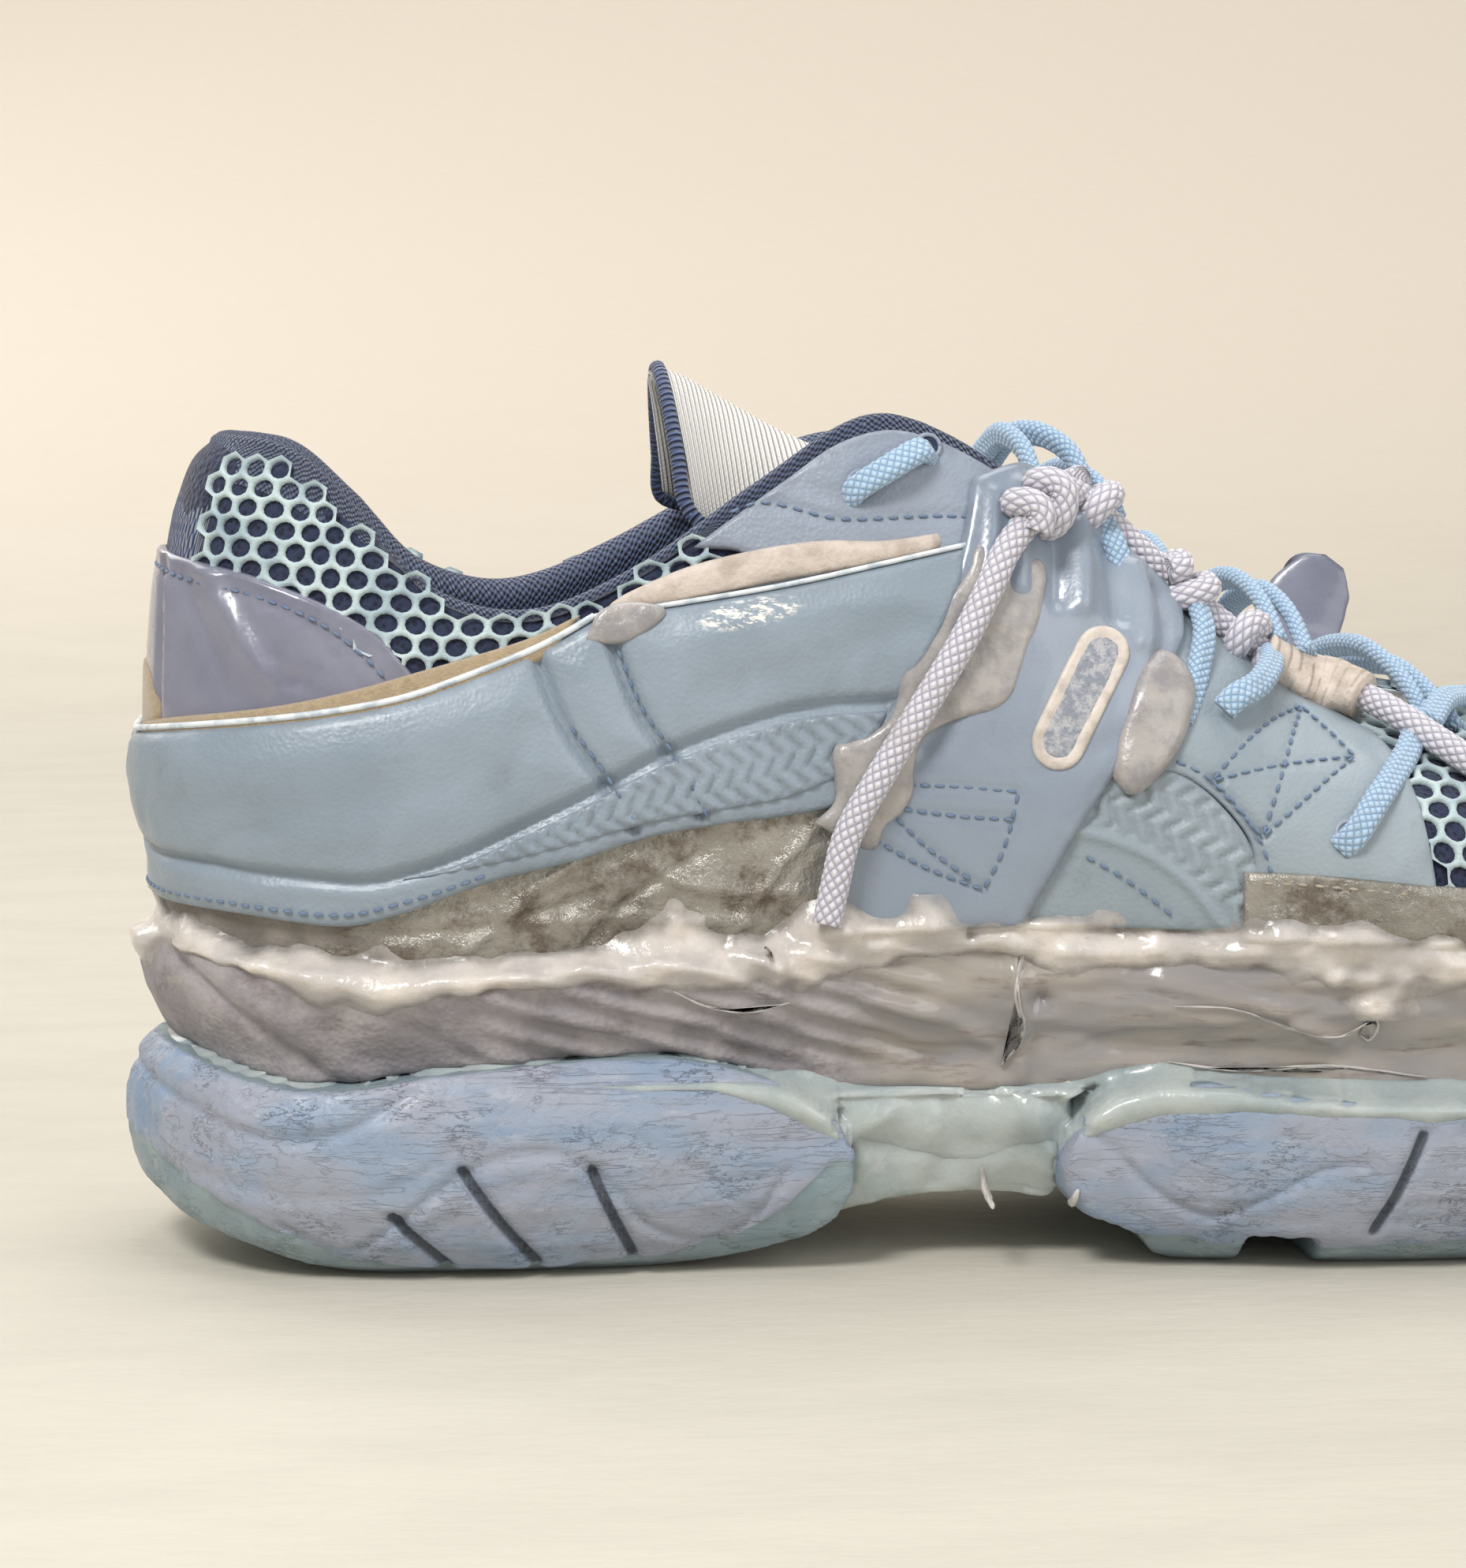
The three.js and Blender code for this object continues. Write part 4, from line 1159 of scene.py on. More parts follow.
bandB = [(98.7, 52.8), (102.8, 40.5), (107, 33.7), (113.1, 21.3)]
herringOutline = [
    [(62.2, 15.6), (70.7, 18.0), (83.6, 23.2), (96.2, 28.3), (106.1, 32.5), (127.3, 38.0), (143.4, 38.4)],
    [(143.4, 38.4), (140.2, 32), (138.9, 29.4)],
    [(138.9, 29.4), (127, 25.2), (114.2, 24), (102.8, 22.9), (91.2, 20.6), (75.9, 17.8), (62.2, 15.6)]
]
quarterCreases = [
    ([(6, 31), (20, 33), (38, 33)], 0.5, 5),
    ([(45, 36), (60, 40), (80, 44)], 0.45, 4.5),
    ([(112, 53), (128, 55), (145, 57)], 0.55, 3.2),
    ([(22, 24), (48, 26), (75, 33)], -0.5, 4),
    ([(113, 44), (130, 47), (147, 52)], -0.45, 3),
    ([(14, 20), (17, 27), (22, 31)], -0.35, 2),
    ([(75, 28), (81, 33), (84, 40)], -0.4, 2.2),
    ([(57, 20), (60, 26), (58, 31)], -0.25, 2),
    ([(30, 17.5), (34, 21), (41, 22)], -0.3, 1.6),
    ([(119, 42), (121, 47), (120, 52)], -0.3, 1.8),
    ([(134, 42), (137, 48), (136, 54)], -0.35, 1.8),
    ([(5, 10), (20, 11), (40, 11)], 0.3, 2),
]
quarterSettings = {
    "thickness": 3.3, "puff": 1.5, "groove": 2.0, "bands": 2.0, "creases": 1.12, "stitchLift": 3.35
}


def quarterRelief(flat, skin):
    s = quarterSettings
    grooveRun, edgeRun = smoothLine(groove, 2), smoothLine(whiteEdge + quarterTop[1:], 2)
    toGroove, toEdge = toLine(flat, grooveRun), toLine(flat, edgeRun)
    toBands = np.minimum(*(toLine(flat, smoothLine(band, 2)) for band in (bandA, bandB)))
    above = flat[:, 1] > np.interp(flat[:, 0], grooveRun[:, 0], grooveRun[:, 1])
    nearest = np.minimum(np.minimum(toGroove, toEdge * 1.1), toBands + 1.0)
    puffed, flattened = s["puff"] * (1 - bell(nearest / 6.5)), -0.75 * ease(0, 3.5, toGroove)
    height = np.where(above, puffed, flattened)
    height -= s["groove"] * bell(toGroove / 1.15) + s["bands"] * bell(toBands / 1.05)
    height += (
        press(flat, [(88, 48), (95, 34), (104, 24)], -0.25, 2.4)
        + pressed(flat, quarterCreases) * s["creases"]
    )
    return height + lumps(skin, 19, 4) * 0.35 + lumps(skin, 8, 7) * 0.16


cutPiece(
    "quarter_leather", bothSides(quarterEdges), finishes["panel"], thick=quarterSettings["thickness"],
    under=0.5, rounded=2.2, step=0.9, relief=quarterRelief, replaced=["quarter_panel"], slot="leather"
)
feltEdges = [
    [(8, 36.4), (37.2, 42.0), (53, 46.0), (64.8, 49.6), (75, 52.4), (84.8, 55.0), (93.5, 58.2)],
    [(93.5, 58.2), (88.2, 52), (77, 48), (61.4, 43), (37.5, 38), (8, 34)]
]
lowStitch = [(0, 8.6), (15, 8.8), (36.7, 9.3), (52.8, 9.2), (60.6, 11.3), (75.9, 16.4)]
quarterStitches = [lowStitch, [(u, w + 1.6) for u, w in bandB], [(u, w + 1.6) for u, w in bandA[1:]]]
# the painted edge: its line, how far that is raised, how proud it stands, its width and height
quarterPaint = {
    "quarter_edge_": (whiteEdge, 0.15, 3.15, 1.15, 1.35),
    "quarter_edge_front_": (quarterTop, 0.1, 3.0, 0.9, 1.0),
}
for suffix, flip in shoeSides:
    cutPiece(
        "quarter_felt_" + suffix, feltEdges, finishes["felt"], thick=2.5, under=0.8, rounded=0.7,
        mirrored=flip
    )
    for name, (line, raised, proud, width, height) in quarterPaint.items():
        path, up = patternLine([(u, w + raised) for u, w in line], proud, flip)
        finishPiece(
            name + suffix, tubeMesh(name, path, width, height, up=up), finishes["edgePaint"]
        )
for suffix, flip in shoeSides:
    stitches("quarter_stitch_" + suffix, quarterStitches, quarterSettings["stitchLift"], mirrored=flip)
print("quarter made")


def herringbone(flat, pitch=3.4, rows=3.1, slant=0.75):
    # zigzag ribs: rows of slanted bars that change their slant from row to row
    u, w = flat[:, 0], flat[:, 1]
    row = np.floor(w / rows)
    lean = np.where(row % 2 == 0, 1, -1)
    phase = (u + lean * slant * (w - row * rows)) / pitch + (row % 2) * slant * rows / pitch
    return ease(0.12, 0.3, np.abs((phase % 1) - 0.5)) - 0.5


def tilted(flat, angle, centre):
    c, s = math.cos(angle), math.sin(angle)
    moved = flat - centre
    return np.stack([moved[:, 0] * c + moved[:, 1] * s, -moved[:, 0] * s + moved[:, 1] * c], 1)


def herringRelief(flat, skin):
    return herringbone(tilted(flat, 0.18, (100, 28))) * 0.75 + lumps(skin, 10) * 0.2


for suffix, flip in shoeSides:
    cutPiece(
        "quarter_herringbone_" + suffix, herringOutline, finishes["panel"], thick=1.1, under=2.55,
        rounded=0.8, step=0.62, relief=herringRelief, mirrored=flip, edgeStep=1.0, slot="leather"
    )


# foil mudguard and the strip round the toe
foilTop = [
    (50, 6), (60.6, 10.5), (75.9, 16.4), (90.9, 19.6), (102.8, 22.2), (114.2, 23.3), (127, 23.7),
    (141.8, 24.8)
]
foilEdges = [
    foilTop, [(141.8, 24.8), (138, 12), (137, 0.3)], [(137, 0.3), (100, 0.3), (40, 0.3)],
    [(40, 0.3), (50, 6)]
]
heelFoil = [[(0, 9.5), (20, 9.8), (45, 9.6), (60, 8)], [(60, 8), (58, 0.3)], [(58, 0.3), (30, 0.3), (0, 0.3)]]

foilCreases = [
    ([(72, 3), (83, 12), (90, 17)], 0.9, 1.0),
    ([(92, 2), (98, 9), (112, 17)], -0.9, 1.0),
    ([(100, 17), (112, 11), (128, 9)], 0.9, 1.0),
    ([(60, 6), (75, 7), (95, 12)], -0.75, 1.0),
    ([(118, 3), (124, 12), (133, 21)], 0.825, 1.0),
    ([(80, 8), (100, 7), (120, 4)], 0.75, 1.0),
]


def foilRelief(flat, skin):
    crumpled = lumps(skin, 8, 2) * 0.6 + np.abs(lumps(skin, 4.2, 8)) * 0.7 + lumps(skin, 2.2, 5) * 0.16
    return crumpled + pressed(flat, foilCreases)


toeStripTop = [
    (203.5, 11.4), (212, 11.4), (220.1, 11), (236.4, 10), (250, 10), (270, 12), (toeEnd - 14, 15),
    (toeEnd, 16)
]
toeStripBack = [(wholeWay - u, w) for u, w in toeStripTop[-2::-1]]
toeStrip = [
    [(203.5, 0.3), (240, 0.3), (toeEnd, 0.3), (wholeWay - 203.5, 0.3)],
    [(wholeWay - 203.5, 0.3), (wholeWay - 203.5, 11.4)], (toeStripTop + toeStripBack)[::-1],
    [(203.5, 11.4), (203.5, 0.3)]
]
cutPiece(
    "toe_foil", toeStrip, finishes["foil"], thick=1.1, under=1.7, rounded=0.8, step=1.3, relief=foilRelief,
    slot="leather"
)
for suffix, flip in shoeSides:
    cutPiece(
        "mudguard_foil_" + suffix, foilEdges, finishes["foil"], thick=1.0, under=0.1, rounded=0.8,
        step=0.85, relief=foilRelief, mirrored=flip, slot="leather"
    )
    stitches(
        "foil_stitch_" + suffix, [[(u, w - 1.6) for u, w in foilTop[1:]]], 1.15, mirrored=flip,
        thread="threadTan", pitch=2.8
    )
    stitches(
        "toe_stitch_" + suffix, [[(u, w - 1.7) for u, w in toeStripTop[:-1]]], 2.85, mirrored=flip,
        thread="threadTan", pitch=2.8
    )
cutPiece(
    "heel_foil", bothSides(heelFoil), finishes["suede"], thick=1.0, under=0.1, rounded=0.8,
    relief=foilRelief, slot="leather"
)
print("mudguard made")


# eyestay, front panel and their seams
def throatEdge(us, drop, sign=1):
    return [(u, float(pattern.topHeight(sign * u)) - drop) for u in us]


def eyestayEdges(sign):
    top = throatEdge((113, 120, 128, 136, 144, 152, 160, 168, 176, 184), 4.0, sign)
    low = [(170, 55), (160, 56), (150, 60), (132, 59), (120, 58.6)]
    return [top, [top[-1], (180, 62), (170, 55)], low, [(120, 58.6), (121, 66), top[0]]]


eyestayStitch = [(118.5, 73.2), (123.5, 74.8), (129, 73.2), (135.3, 70.9), (152.3, 70.8), (158.5, 70.6)]
barHoles = [(150.6, 83.1), (139.2, 76.8)]

eyestayCreases = [
    (eyestayStitch, -0.5, 0.9),
    ([(126, 80), (132, 76), (139, 74)], -0.35, 1.6),
    ([(153, 86), (155, 79), (158, 74)], -0.35, 1.6),
]


def eyestayRelief(flat, skin):
    height = pressed(flat, eyestayCreases) + lumps(skin, 11) * 0.3 + lumps(skin, 4, 4) * 0.12
    for u, w in barHoles:
        height += press(flat, [(u, w), (u + 0.1, w)], -0.9, 2.4)
    return height


frontTop = throatEdge((176, 184, 192, 200, 208, 216), 0.4)
frontEdges = [
    [(170, 18), (176, 40), (181, 58), frontTop[0]], frontTop,
    [frontTop[-1], (226, 47), (231.5, 40), (236.5, 7.6)], [(236.5, 7.6), (220, 8.4), (204.9, 8.4)],
    [(204.9, 8.4), (204.9, 16.2), (197.4, 25.1), (190.3, 27.4), (180, 22), (170, 18)]
]
frontHoles = [(193.2, 46.5), (204.9, 45.3), (221.5, 17.8)]
boxStitch = [
    [(199, 26.1), (208, 35.8), (217.5, 45)], [(217.5, 45), (221.5, 39), (224.9, 32.7)],
    [(224.9, 32.7), (216, 24.6), (207, 17.1)], [(207, 17.1), (203, 21.5), (199, 26.1)],
    [(199, 26.1), (212, 29.6), (224.9, 32.7)], [(217.5, 45), (212.5, 31), (207, 17.1)]
]
frontSeam = [(185, 29.6), (190.3, 29.8), (198.4, 26.6), (206.2, 17.2), (208.4, 10.5)]

frontCreases = [([(194, 57), (206, 48), (222, 44)], 0.4, 3), ([(228, 14), (231, 25), (229, 38)], -0.4, 2)]


def frontRelief(flat, skin):
    height = pressed(flat, [(line, -0.35, 0.8) for line in [frontSeam] + boxStitch] + frontCreases)
    return height + lumps(skin, 13) * 0.4 + lumps(skin, 4.5, 4) * 0.12


herringTwo = [
    [
        (160, 19), (172, 22), (183, 25.5), (190.3, 28.2), (197.4, 25.1), (204.9, 16.2), (206.4, 9.8),
        (205, 1)
    ],
    [(205, 1), (185.7, 1), (158, 1)], [(158, 1), (159, 10), (160, 19)]
]
pipingLine = [(172.5, 18.3), (180, 16.6), (188, 13.6), (195, 8.4), (200.5, 1.5)]


def patchRelief(flat, skin):
    run = smoothLine(pipingLine, 1.5)
    over = flat[:, 1] > np.interp(flat[:, 0], run[:, 0], run[:, 1])
    ribs = herringbone(tilted(flat, -0.45, (190, 15)), 3.4, 3.0) * 0.75 * ease(1.2, 2.4, toLine(flat, run))
    return np.where(over, ribs, 0) + press(flat, pipingLine, 0.75, 1.0) + lumps(skin, 9) * 0.2


for suffix, flip in shoeSides:
    cutPiece(
        "eyestay_" + suffix, eyestayEdges(-1 if flip else 1), finishes["eyestay"], thick=1.5, under=0.4,
        rounded=1.1, step=1.0, relief=eyestayRelief, mirrored=flip, slot="leather"
    )
    stitches("eyestay_stitch_" + suffix, [eyestayStitch], 1.65, mirrored=flip)
    cutPiece(
        "front_panel_" + suffix, frontEdges, finishes["front"], thick=1.5, under=0.5, rounded=1.0, step=1.0,
        relief=frontRelief, mirrored=flip, slot="leather"
    )
    cutPiece(
        "front_herringbone_" + suffix, herringTwo, finishes["front"], thick=1.3, under=0.4, rounded=1.0,
        step=0.65, relief=patchRelief, mirrored=flip, slot="leather"
    )
    stitches(
        "front_stitch_" + suffix, boxStitch + [frontSeam, [(177, 13.5), (184, 9.6), (192, 3.5)]], 2.0,
        mirrored=flip
    )
print("front made")


# holes the laces run through
def eyelet(name, spot, lift, radius, mirrored=False):
    u, w = spot
    u = -u if mirrored else u
    turn = np.linspace(0, 2 * math.pi, 25)
    ring = np.stack([u + np.cos(turn) * radius, w + np.sin(turn) * radius], 1)
    path = pattern.lifted(*ring.T, lift)
    rim = tubeMesh(name + "Rim", path, 0.75, 0.6, sides=8, up=pattern.normal(*ring.T))
    disc = pattern.lifted(*ring[:-1].T, lift + 0.05)
    middle = pattern.lifted(np.array([u]), np.array([w]), lift - 0.5)
    faces = [(24, n, (n + 1) % 24) for n in range(24)]
    inside = meshOf(name + "Hole", np.vstack([disc, middle]), faces)
    finishPiece(name + "_rim", rim, finishes["eyestay"])
    finishPiece(name + "_hole", inside, finishes["dark"])


for suffix, flip in shoeSides:
    for n, spot in enumerate(barHoles):
        eyelet(f"bar_eyelet_{n}_{suffix}", spot, 1.75, 2.1, flip)
    for n, spot in enumerate(frontHoles):
        eyelet(f"front_eyelet_{n}_{suffix}", spot, 1.95, 2.1, flip)


# midfoot straps, the outer one with its oval badge
strapLeft = [
    (158.2, 77.4), (156, 65.5), (153.5, 58), (147.8, 45), (142.6, 37.5), (138, 28), (134.6, 20),
    (132.9, 10), (132.0, 1.2)
]
strapBottom = [(132.0, 1.2), (148, 1.0), (166.5, 1.2)]
strapRight = [(166.5, 1.2), (176, 17.5), (186.8, 33.8), (192, 44), (195.4, 53), (195, 61.6)]
strapTop = [(195, 61.6), (191, 65), (181, 72.2), (171.7, 78.6), (167.4, 81.4), (158.2, 77.4)]
strapEdges = [strapLeft, strapBottom, strapRight, strapTop]
strapFolds = [
    ([(166, 76), (166.5, 66), (166, 58)], 0.75, 2.0),
    ([(171.5, 73.5), (172.5, 65), (172.5, 56)], -0.7, 1.7),
    ([(176, 70.5), (177, 62), (177, 55)], 0.85, 1.9),
    ([(181.5, 68), (182.5, 60), (183, 53)], -0.8, 1.6),
    ([(186, 64.5), (187.5, 57), (188, 49)], 0.8, 1.8),
    ([(190.6, 60), (191.5, 53), (190.5, 46)], -0.5, 1.5),
    ([(161.5, 74), (160, 60), (152, 44)], 0.6, 1.6),
    ([(164, 55), (158, 44), (150, 32)], -0.6, 2.4),
    ([(168.5, 28), (175, 30), (184, 33)], -0.3, 2.2),
]
strapSettings = {"thickness": 2.4, "under": 1.5, "folds": 2.0, "stitchLift": 3.65}
badgeCentre, badgeAlong = np.array([176.6, 39.6]), unit(np.array([10.9, 21.1]))
badgeAcross = np.array([badgeAlong[1], -badgeAlong[0]])
tabStitch = [
    [(146, 26), (157, 25.2), (166, 24.2)], [(143, 22.5), (155, 20.5), (165.5, 19.6)],
    [(166, 24.2), (163.5, 15), (160, 8)], [(140.5, 17.5), (150, 12), (160, 8)],
    [(143, 22.5), (150, 15.5), (158, 9.5)]
]


def strapRelief(flat, skin):
    height = lumps(skin, 14, 9) * 0.35 + pressed(flat, strapFolds) * strapSettings["folds"]
    height += pressed(flat, [(line, -0.4, 0.8) for line in tabStitch])
    spot = flat - badgeCentre
    inBadge = np.hypot(np.clip(np.abs(spot @ badgeAlong) - 8.3, 0, None), spot @ badgeAcross)
    return height * ease(3.5, 7, inBadge) - 0.25 * ease(5.6, 4.6, inBadge)


strapSheet = {
    "thick": strapSettings["thickness"], "under": strapSettings["under"], "rounded": 1.5,
    "relief": strapRelief, "slot": "strap"
}
cutPiece("strap_outer", strapEdges, finishes["strap"], step=1.0, replaced=["strap_lateral"], **strapSheet)
cutPiece(
    "strap_inner", strapEdges, finishes["strap"], step=1.5, mirrored=True, replaced=["strap_medial"],
    **strapSheet
)
for suffix, flip in shoeSides:
    stitches("strap_stitch_" + suffix, tabStitch, strapSettings["stitchLift"], mirrored=flip)


def oval(radius, half):
    # a closed oval round the badge's centre, laid along the badge
    turn = np.linspace(-math.pi / 2, math.pi / 2, 20)
    right = np.stack([half + radius * np.cos(turn), radius * np.sin(turn)], 1)
    rim = np.vstack([right, -right, right[:1]])
    return badgeCentre + rim[:, :1] * badgeAlong + rim[:, 1:] * badgeAcross


badgeOval, badgeInside = oval(4.6, 8.2), oval(3.2, 8.0)


def badgeRelief(flat, skin):
    toInside = toLine(flat, badgeInside) * np.where(insideOf(flat, badgeInside[:-1]), -1, 1)
    return -0.5 * ease(0.2, -0.8, toInside)


def flockRelief(flat, skin):
    return lumps(skin, 1.7, 3) * 0.12


badgeSheet = {"step": 0.9, "edgeStep": 0.9, "slot": "strap"}
cutPiece(
    "badge_rim", [badgeOval], finishes["ivory"], thick=0.9, under=3.45, rounded=0.8, relief=badgeRelief,
    **badgeSheet
)
cutPiece(
    "badge_flock", [badgeInside], finishes["flock"], thick=0.55, under=3.5, rounded=0.6, relief=flockRelief,
    **badgeSheet
)

# a loose grey flap on the inner side
flapPath = smoothLine(
    [(216, 24, 90), (217, 27, 98), (219.5, 29.5, 106), (223, 30.5, 113.5), (225.5, 30, 117)], 0.8
)


def flapTaper(along):
    return np.sqrt(np.clip(1.02 - along**4, 0.05, 1))


def flapBumps(angle, along):
    return 0.12 * lumps(np.stack([along, angle * 2], 1), 5, 2)


flap = tubeMesh(
    "innerFlap", flapPath, 17, 3.0, sides=28, up=np.array([0.2, 1.0, 0.0]), taper=flapTaper, bumps=flapBumps
)
finishPiece("inner_flap", flap, finishes["counter"])
print("straps made")


# sole: soft moulded pads under a crushed midsole
def soleFinishes():
    made = {}
    f = Finish("outsoleRubber", 0.5, coat=0.05)
    streak = f.noise(4, 4, stretch=(0.14, 1, 1))
    scuff = f.between(f.noise(20, 5, roughness=0.6, stretch=(0.5, 1, 1)) + streak * 0.35, 0.56, 0.76)
    base = f.mix(f.patches((0.35, 0.65), 30, 3), rgb(132, 152, 178), rgb(148, 164, 186))
    worn = f.mix(scuff * 0.75, base, rgb(162, 164, 176))
    cracks = f.veins(0.016, f.patches((0.5, 0.62), 13, 5), 3.4, 5, roughness=0.7, stretch=(0.42, 1, 1.5))
    specks = f.patches((0.58, 0.7), 2.2, 5, roughness=0.8, stretch=(0.5, 1, 1))
    specks = specks * f.patches((0.42, 0.6), 16, 4)
    scratches = f.veins(0.03, f.patches((0.4, 0.6), 10, 4), 2.4, 4, stretch=(0.1, 1, 1.3))
    worn = f.mix(cracks * 0.2 + specks * 0.6 + scratches * 0.2, worn, rgb(104, 100, 106))
    worn = f.mix(
        f.patches((0.56, 0.68), 2.6, 5, roughness=0.7, stretch=(0.22, 1, 1)) * 0.5, worn, rgb(180, 184, 194)
    )
    bare = f.mix(f.patches((0.35, 0.7), 9, 4), rgb(144, 160, 166), rgb(126, 144, 154))
    colour = f.mix(f.between(f.attribute("bare"), 0.46, 0.54), worn, bare)
    # painted shade in the pads' grooves, read from the dark mark
    f.colour(f.mix(f.between(f.attribute("dark"), 0.6, 0.78), colour, rgb(82, 90, 102)))
    f.set("Roughness", f.patches((0.3, 0.7, 0.36, 0.62), 6, 5))
    brokenPatches = f.patches((0.44, 0.54), 9, 6, roughness=0.7)
    f.bump(brokenPatches * 0.35 - cracks * 0.5 - scratches * 0.4 + streak * 0.4 + f.noise(1.1, 4) * 0.25, 0.28)
    made["rubber"] = f.material

    f = Finish("midsoleFoam", 0.5, coat=0.1)
    base = f.mix(f.patches((0.4, 0.62), 14, 6, roughness=0.68), rgb(164, 158, 160), rgb(138, 133, 138))
    dirt = f.patches((0.52, 0.68), 8, 7, roughness=0.75, stretch=(0.6, 1, 1.3))
    base = f.mix(dirt * 0.6, base, rgb(104, 92, 86))
    gum = f.mix(f.patches((0.4, 0.62), 15, 5, stretch=(0.4, 1, 1.6)), rgb(148, 144, 145), rgb(164, 157, 150))
    gum = f.mix(
        f.patches((0.55, 0.68), 6, 7, roughness=0.7, stretch=(0.4, 1, 2)) * 0.6, gum, rgb(116, 100, 92)
    )
    f.colour(f.mix(f.attribute("film"), base, gum))
    f.set("Roughness", f.between(f.attribute("film") + f.noise(5, 4) * 0.5, 0.3, 1.2, 0.58, 0.2))
    f.set("Coat Weight", f.attribute("film") * 0.8)
    f.bump(f.cells(1.1) * (1 - f.attribute("film")) * 0.6 + f.noise(4, 5) * 0.6, 0.3)
    made["foam"] = f.material

    f = Finish("archGum", 0.26, translucent=0.5, coat=0.5)
    base = f.mix(f.patches((0.35, 0.65), 14, 4), rgb(182, 190, 188), rgb(160, 172, 174))
    f.colour(f.mix(f.patches((0.56, 0.7), 7, 5, roughness=0.7) * 0.5, base, rgb(200, 204, 200)))
    f.set("Roughness", f.patches((0.3, 0.7, 0.18, 0.42), 5, 4))
    f.bump(f.noise(4, 4), 0.4)
    made["gum"] = f.material
    return made


soleLook = soleFinishes()


def sideways(normals):
    return ease(0.25, 0.6, np.hypot(normals[:, 1], np.minimum(normals[:, 0], 0)))


def moulded(name, node, voxel, smoothing, relief, finish, replaced):
    mesh = remeshed(fromNode(node), voxel, smoothing)
    points, normals = shoePoints(mesh)
    lift, marks = relief(points, normals)
    mesh.vertices.foreach_set("co", toScene(points + normals * lift[:, None]).ravel())
    mesh.update()
    markPoints(mesh, marks)
    mesh.materials.clear()
    return finishPiece(name, mesh, finish, replaced)


padSettings = {"paint": 0.35, "grooveBlur": 3.0, "borderBlur": 5.0}


def padSkin(points, normals, height, grooves, depth, width, border):
    # cuts the grooves, raises the paint above its border, and marks where both show: the bare rubber, and the
    # painted shade in the grooves
    s = padSettings
    flat, side = points[:, [0, 2]], sideways(normals)
    dark = np.zeros(len(points))
    for line in grooves:
        away = toLine(flat, smoothLine(line, 1.5))
        height = height - depth * bell(away / width)
        # painted shade: darkness in and beside each groove, for the rubber's colour
        dark = np.maximum(dark, np.clip(1 - away / s["grooveBlur"], 0, 1))
    above = points[:, 2] - border
    height = (height + s["paint"] * ease(-0.25, 0.25, above)) * np.clip(side + 0.12, 0, 1)
    marks = {"bare": 1 - np.clip(0.5 + above / s["borderBlur"], 0, 1) * side, "dark": dark * side}
    return height * ease(0.2, 2.2, points[:, 2]), marks


heelGrooves = [
    [(45.5, 12.2), (50, 7.5), (55, 2.5)], [(57.2, 20.5), (63, 12), (70.1, 2.9)],
    [(79.0, 20.1), (82.5, 12), (86.5, 3.7)]
]
archLine = [
    (27, 10.5), (33, 7.2), (38, 5.7), (44.4, 9.6), (50, 14.5), (57, 19.6), (67.3, 23.6), (77.6, 21.6),
    (84, 15), (89.5, 9.2), (99.8, 6.5), (107, 11), (112.5, 19.1)
]
paintLine = [
    (-4, 25), (0.8, 21.8), (6, 19.6), (11.9, 16.4), (18, 13.4), (23.8, 10.8), (29.3, 8.6), (38, 4.4),
    (50, 2.6), (70, 2.2), (90, 3.6), (104, 7), (113, 13), (120, 20)
]
heelMarks = [
    ([(2, 33), (9.5, 30.2), (25.3, 25.5), (37.2, 27), (49.1, 33.5)], -0.9, 1.0),
    ([(4, 35), (24, 29), (40, 31)], 0.7, 3),
    (archLine, -0.7, 0.8),
    ([(x, z - 3) for x, z in archLine[4:9]], 0.35, 1.5),
    ([(14, 18.5), (30, 15.5), (46, 17.5), (56, 24)], -0.35, 1.2),
    ([(84, 27), (96, 20), (106, 12)], -0.35, 1.0),
]


def heelRelief(points, normals):
    height = pressed(points[:, [0, 2]], heelMarks) + lumps(points, 15, 1) * 0.55 * sideways(normals)
    height += lumps(points, 6, 4) * 0.22 + lumps(points, 2.4, 5) * 0.12
    border = (
        np.interp(points[:, 0], *np.array(paintLine).T) + lumps(points, 7, 2) * 0.8
        + lumps(points, 2.5, 3) * 0.35
    )
    return padSkin(points, normals, height, heelGrooves, 2.0, 0.95, border)


moulded(
    "outsole_heel_pad", "outsole_heel", 0.85, 2, heelRelief, soleLook["rubber"], ["outsole_heel"]
)
lensLine = [
    (162, 26), (167.1, 22.4), (176, 13.8), (184, 10.3), (190, 12), (196.2, 15.2), (203.4, 19.3), (210, 20)
]

lensMarks = (
    [(lensLine, -0.9, 0.85)]
    + [([(x, z + step * 2.4) for x, z in lensLine[1:-1]], -0.28, 0.5) for step in range(1, 5)]
)
foreGrooves = [
    [(219.4, 25), (215.5, 15), (212.3, 7.5)], [(250, 27), (245, 17), (241, 10)],
    [(276, 30), (270, 22), (262, 14)]
]
forePaint = [(150, 14), (165, 9), (176, 6), (186, 4.6), (215, 4.4), (260, 8), (290, 20)]


def foreRelief(points, normals):
    x, z = points[:, 0], points[:, 2]
    hatch = ease(0.3, 0.5, np.abs(((x + z * 0.25) / 1.9) % 1 - 0.5))
    inPatch = ease(214, 217, x - (z - 12) * 0.4) * ease(238, 234, x) * ease(8, 10, z) * ease(25, 22, z)
    height = pressed(points[:, [0, 2]], lensMarks) - hatch * 0.55 * inPatch
    height += lumps(points, 13, 2) * 0.5 + lumps(points, 5, 3) * 0.22 + lumps(points, 2.2, 5) * 0.12
    border = np.interp(x, *np.array(forePaint).T) + lumps(points, 6, 6) * 0.9
    return padSkin(points, normals, height, foreGrooves, 1.7, 0.9, border)


moulded(
    "outsole_forefoot_pad", "outsole_forefoot", 0.95, 2, foreRelief, soleLook["rubber"],
    ["outsole_forefoot"]
)

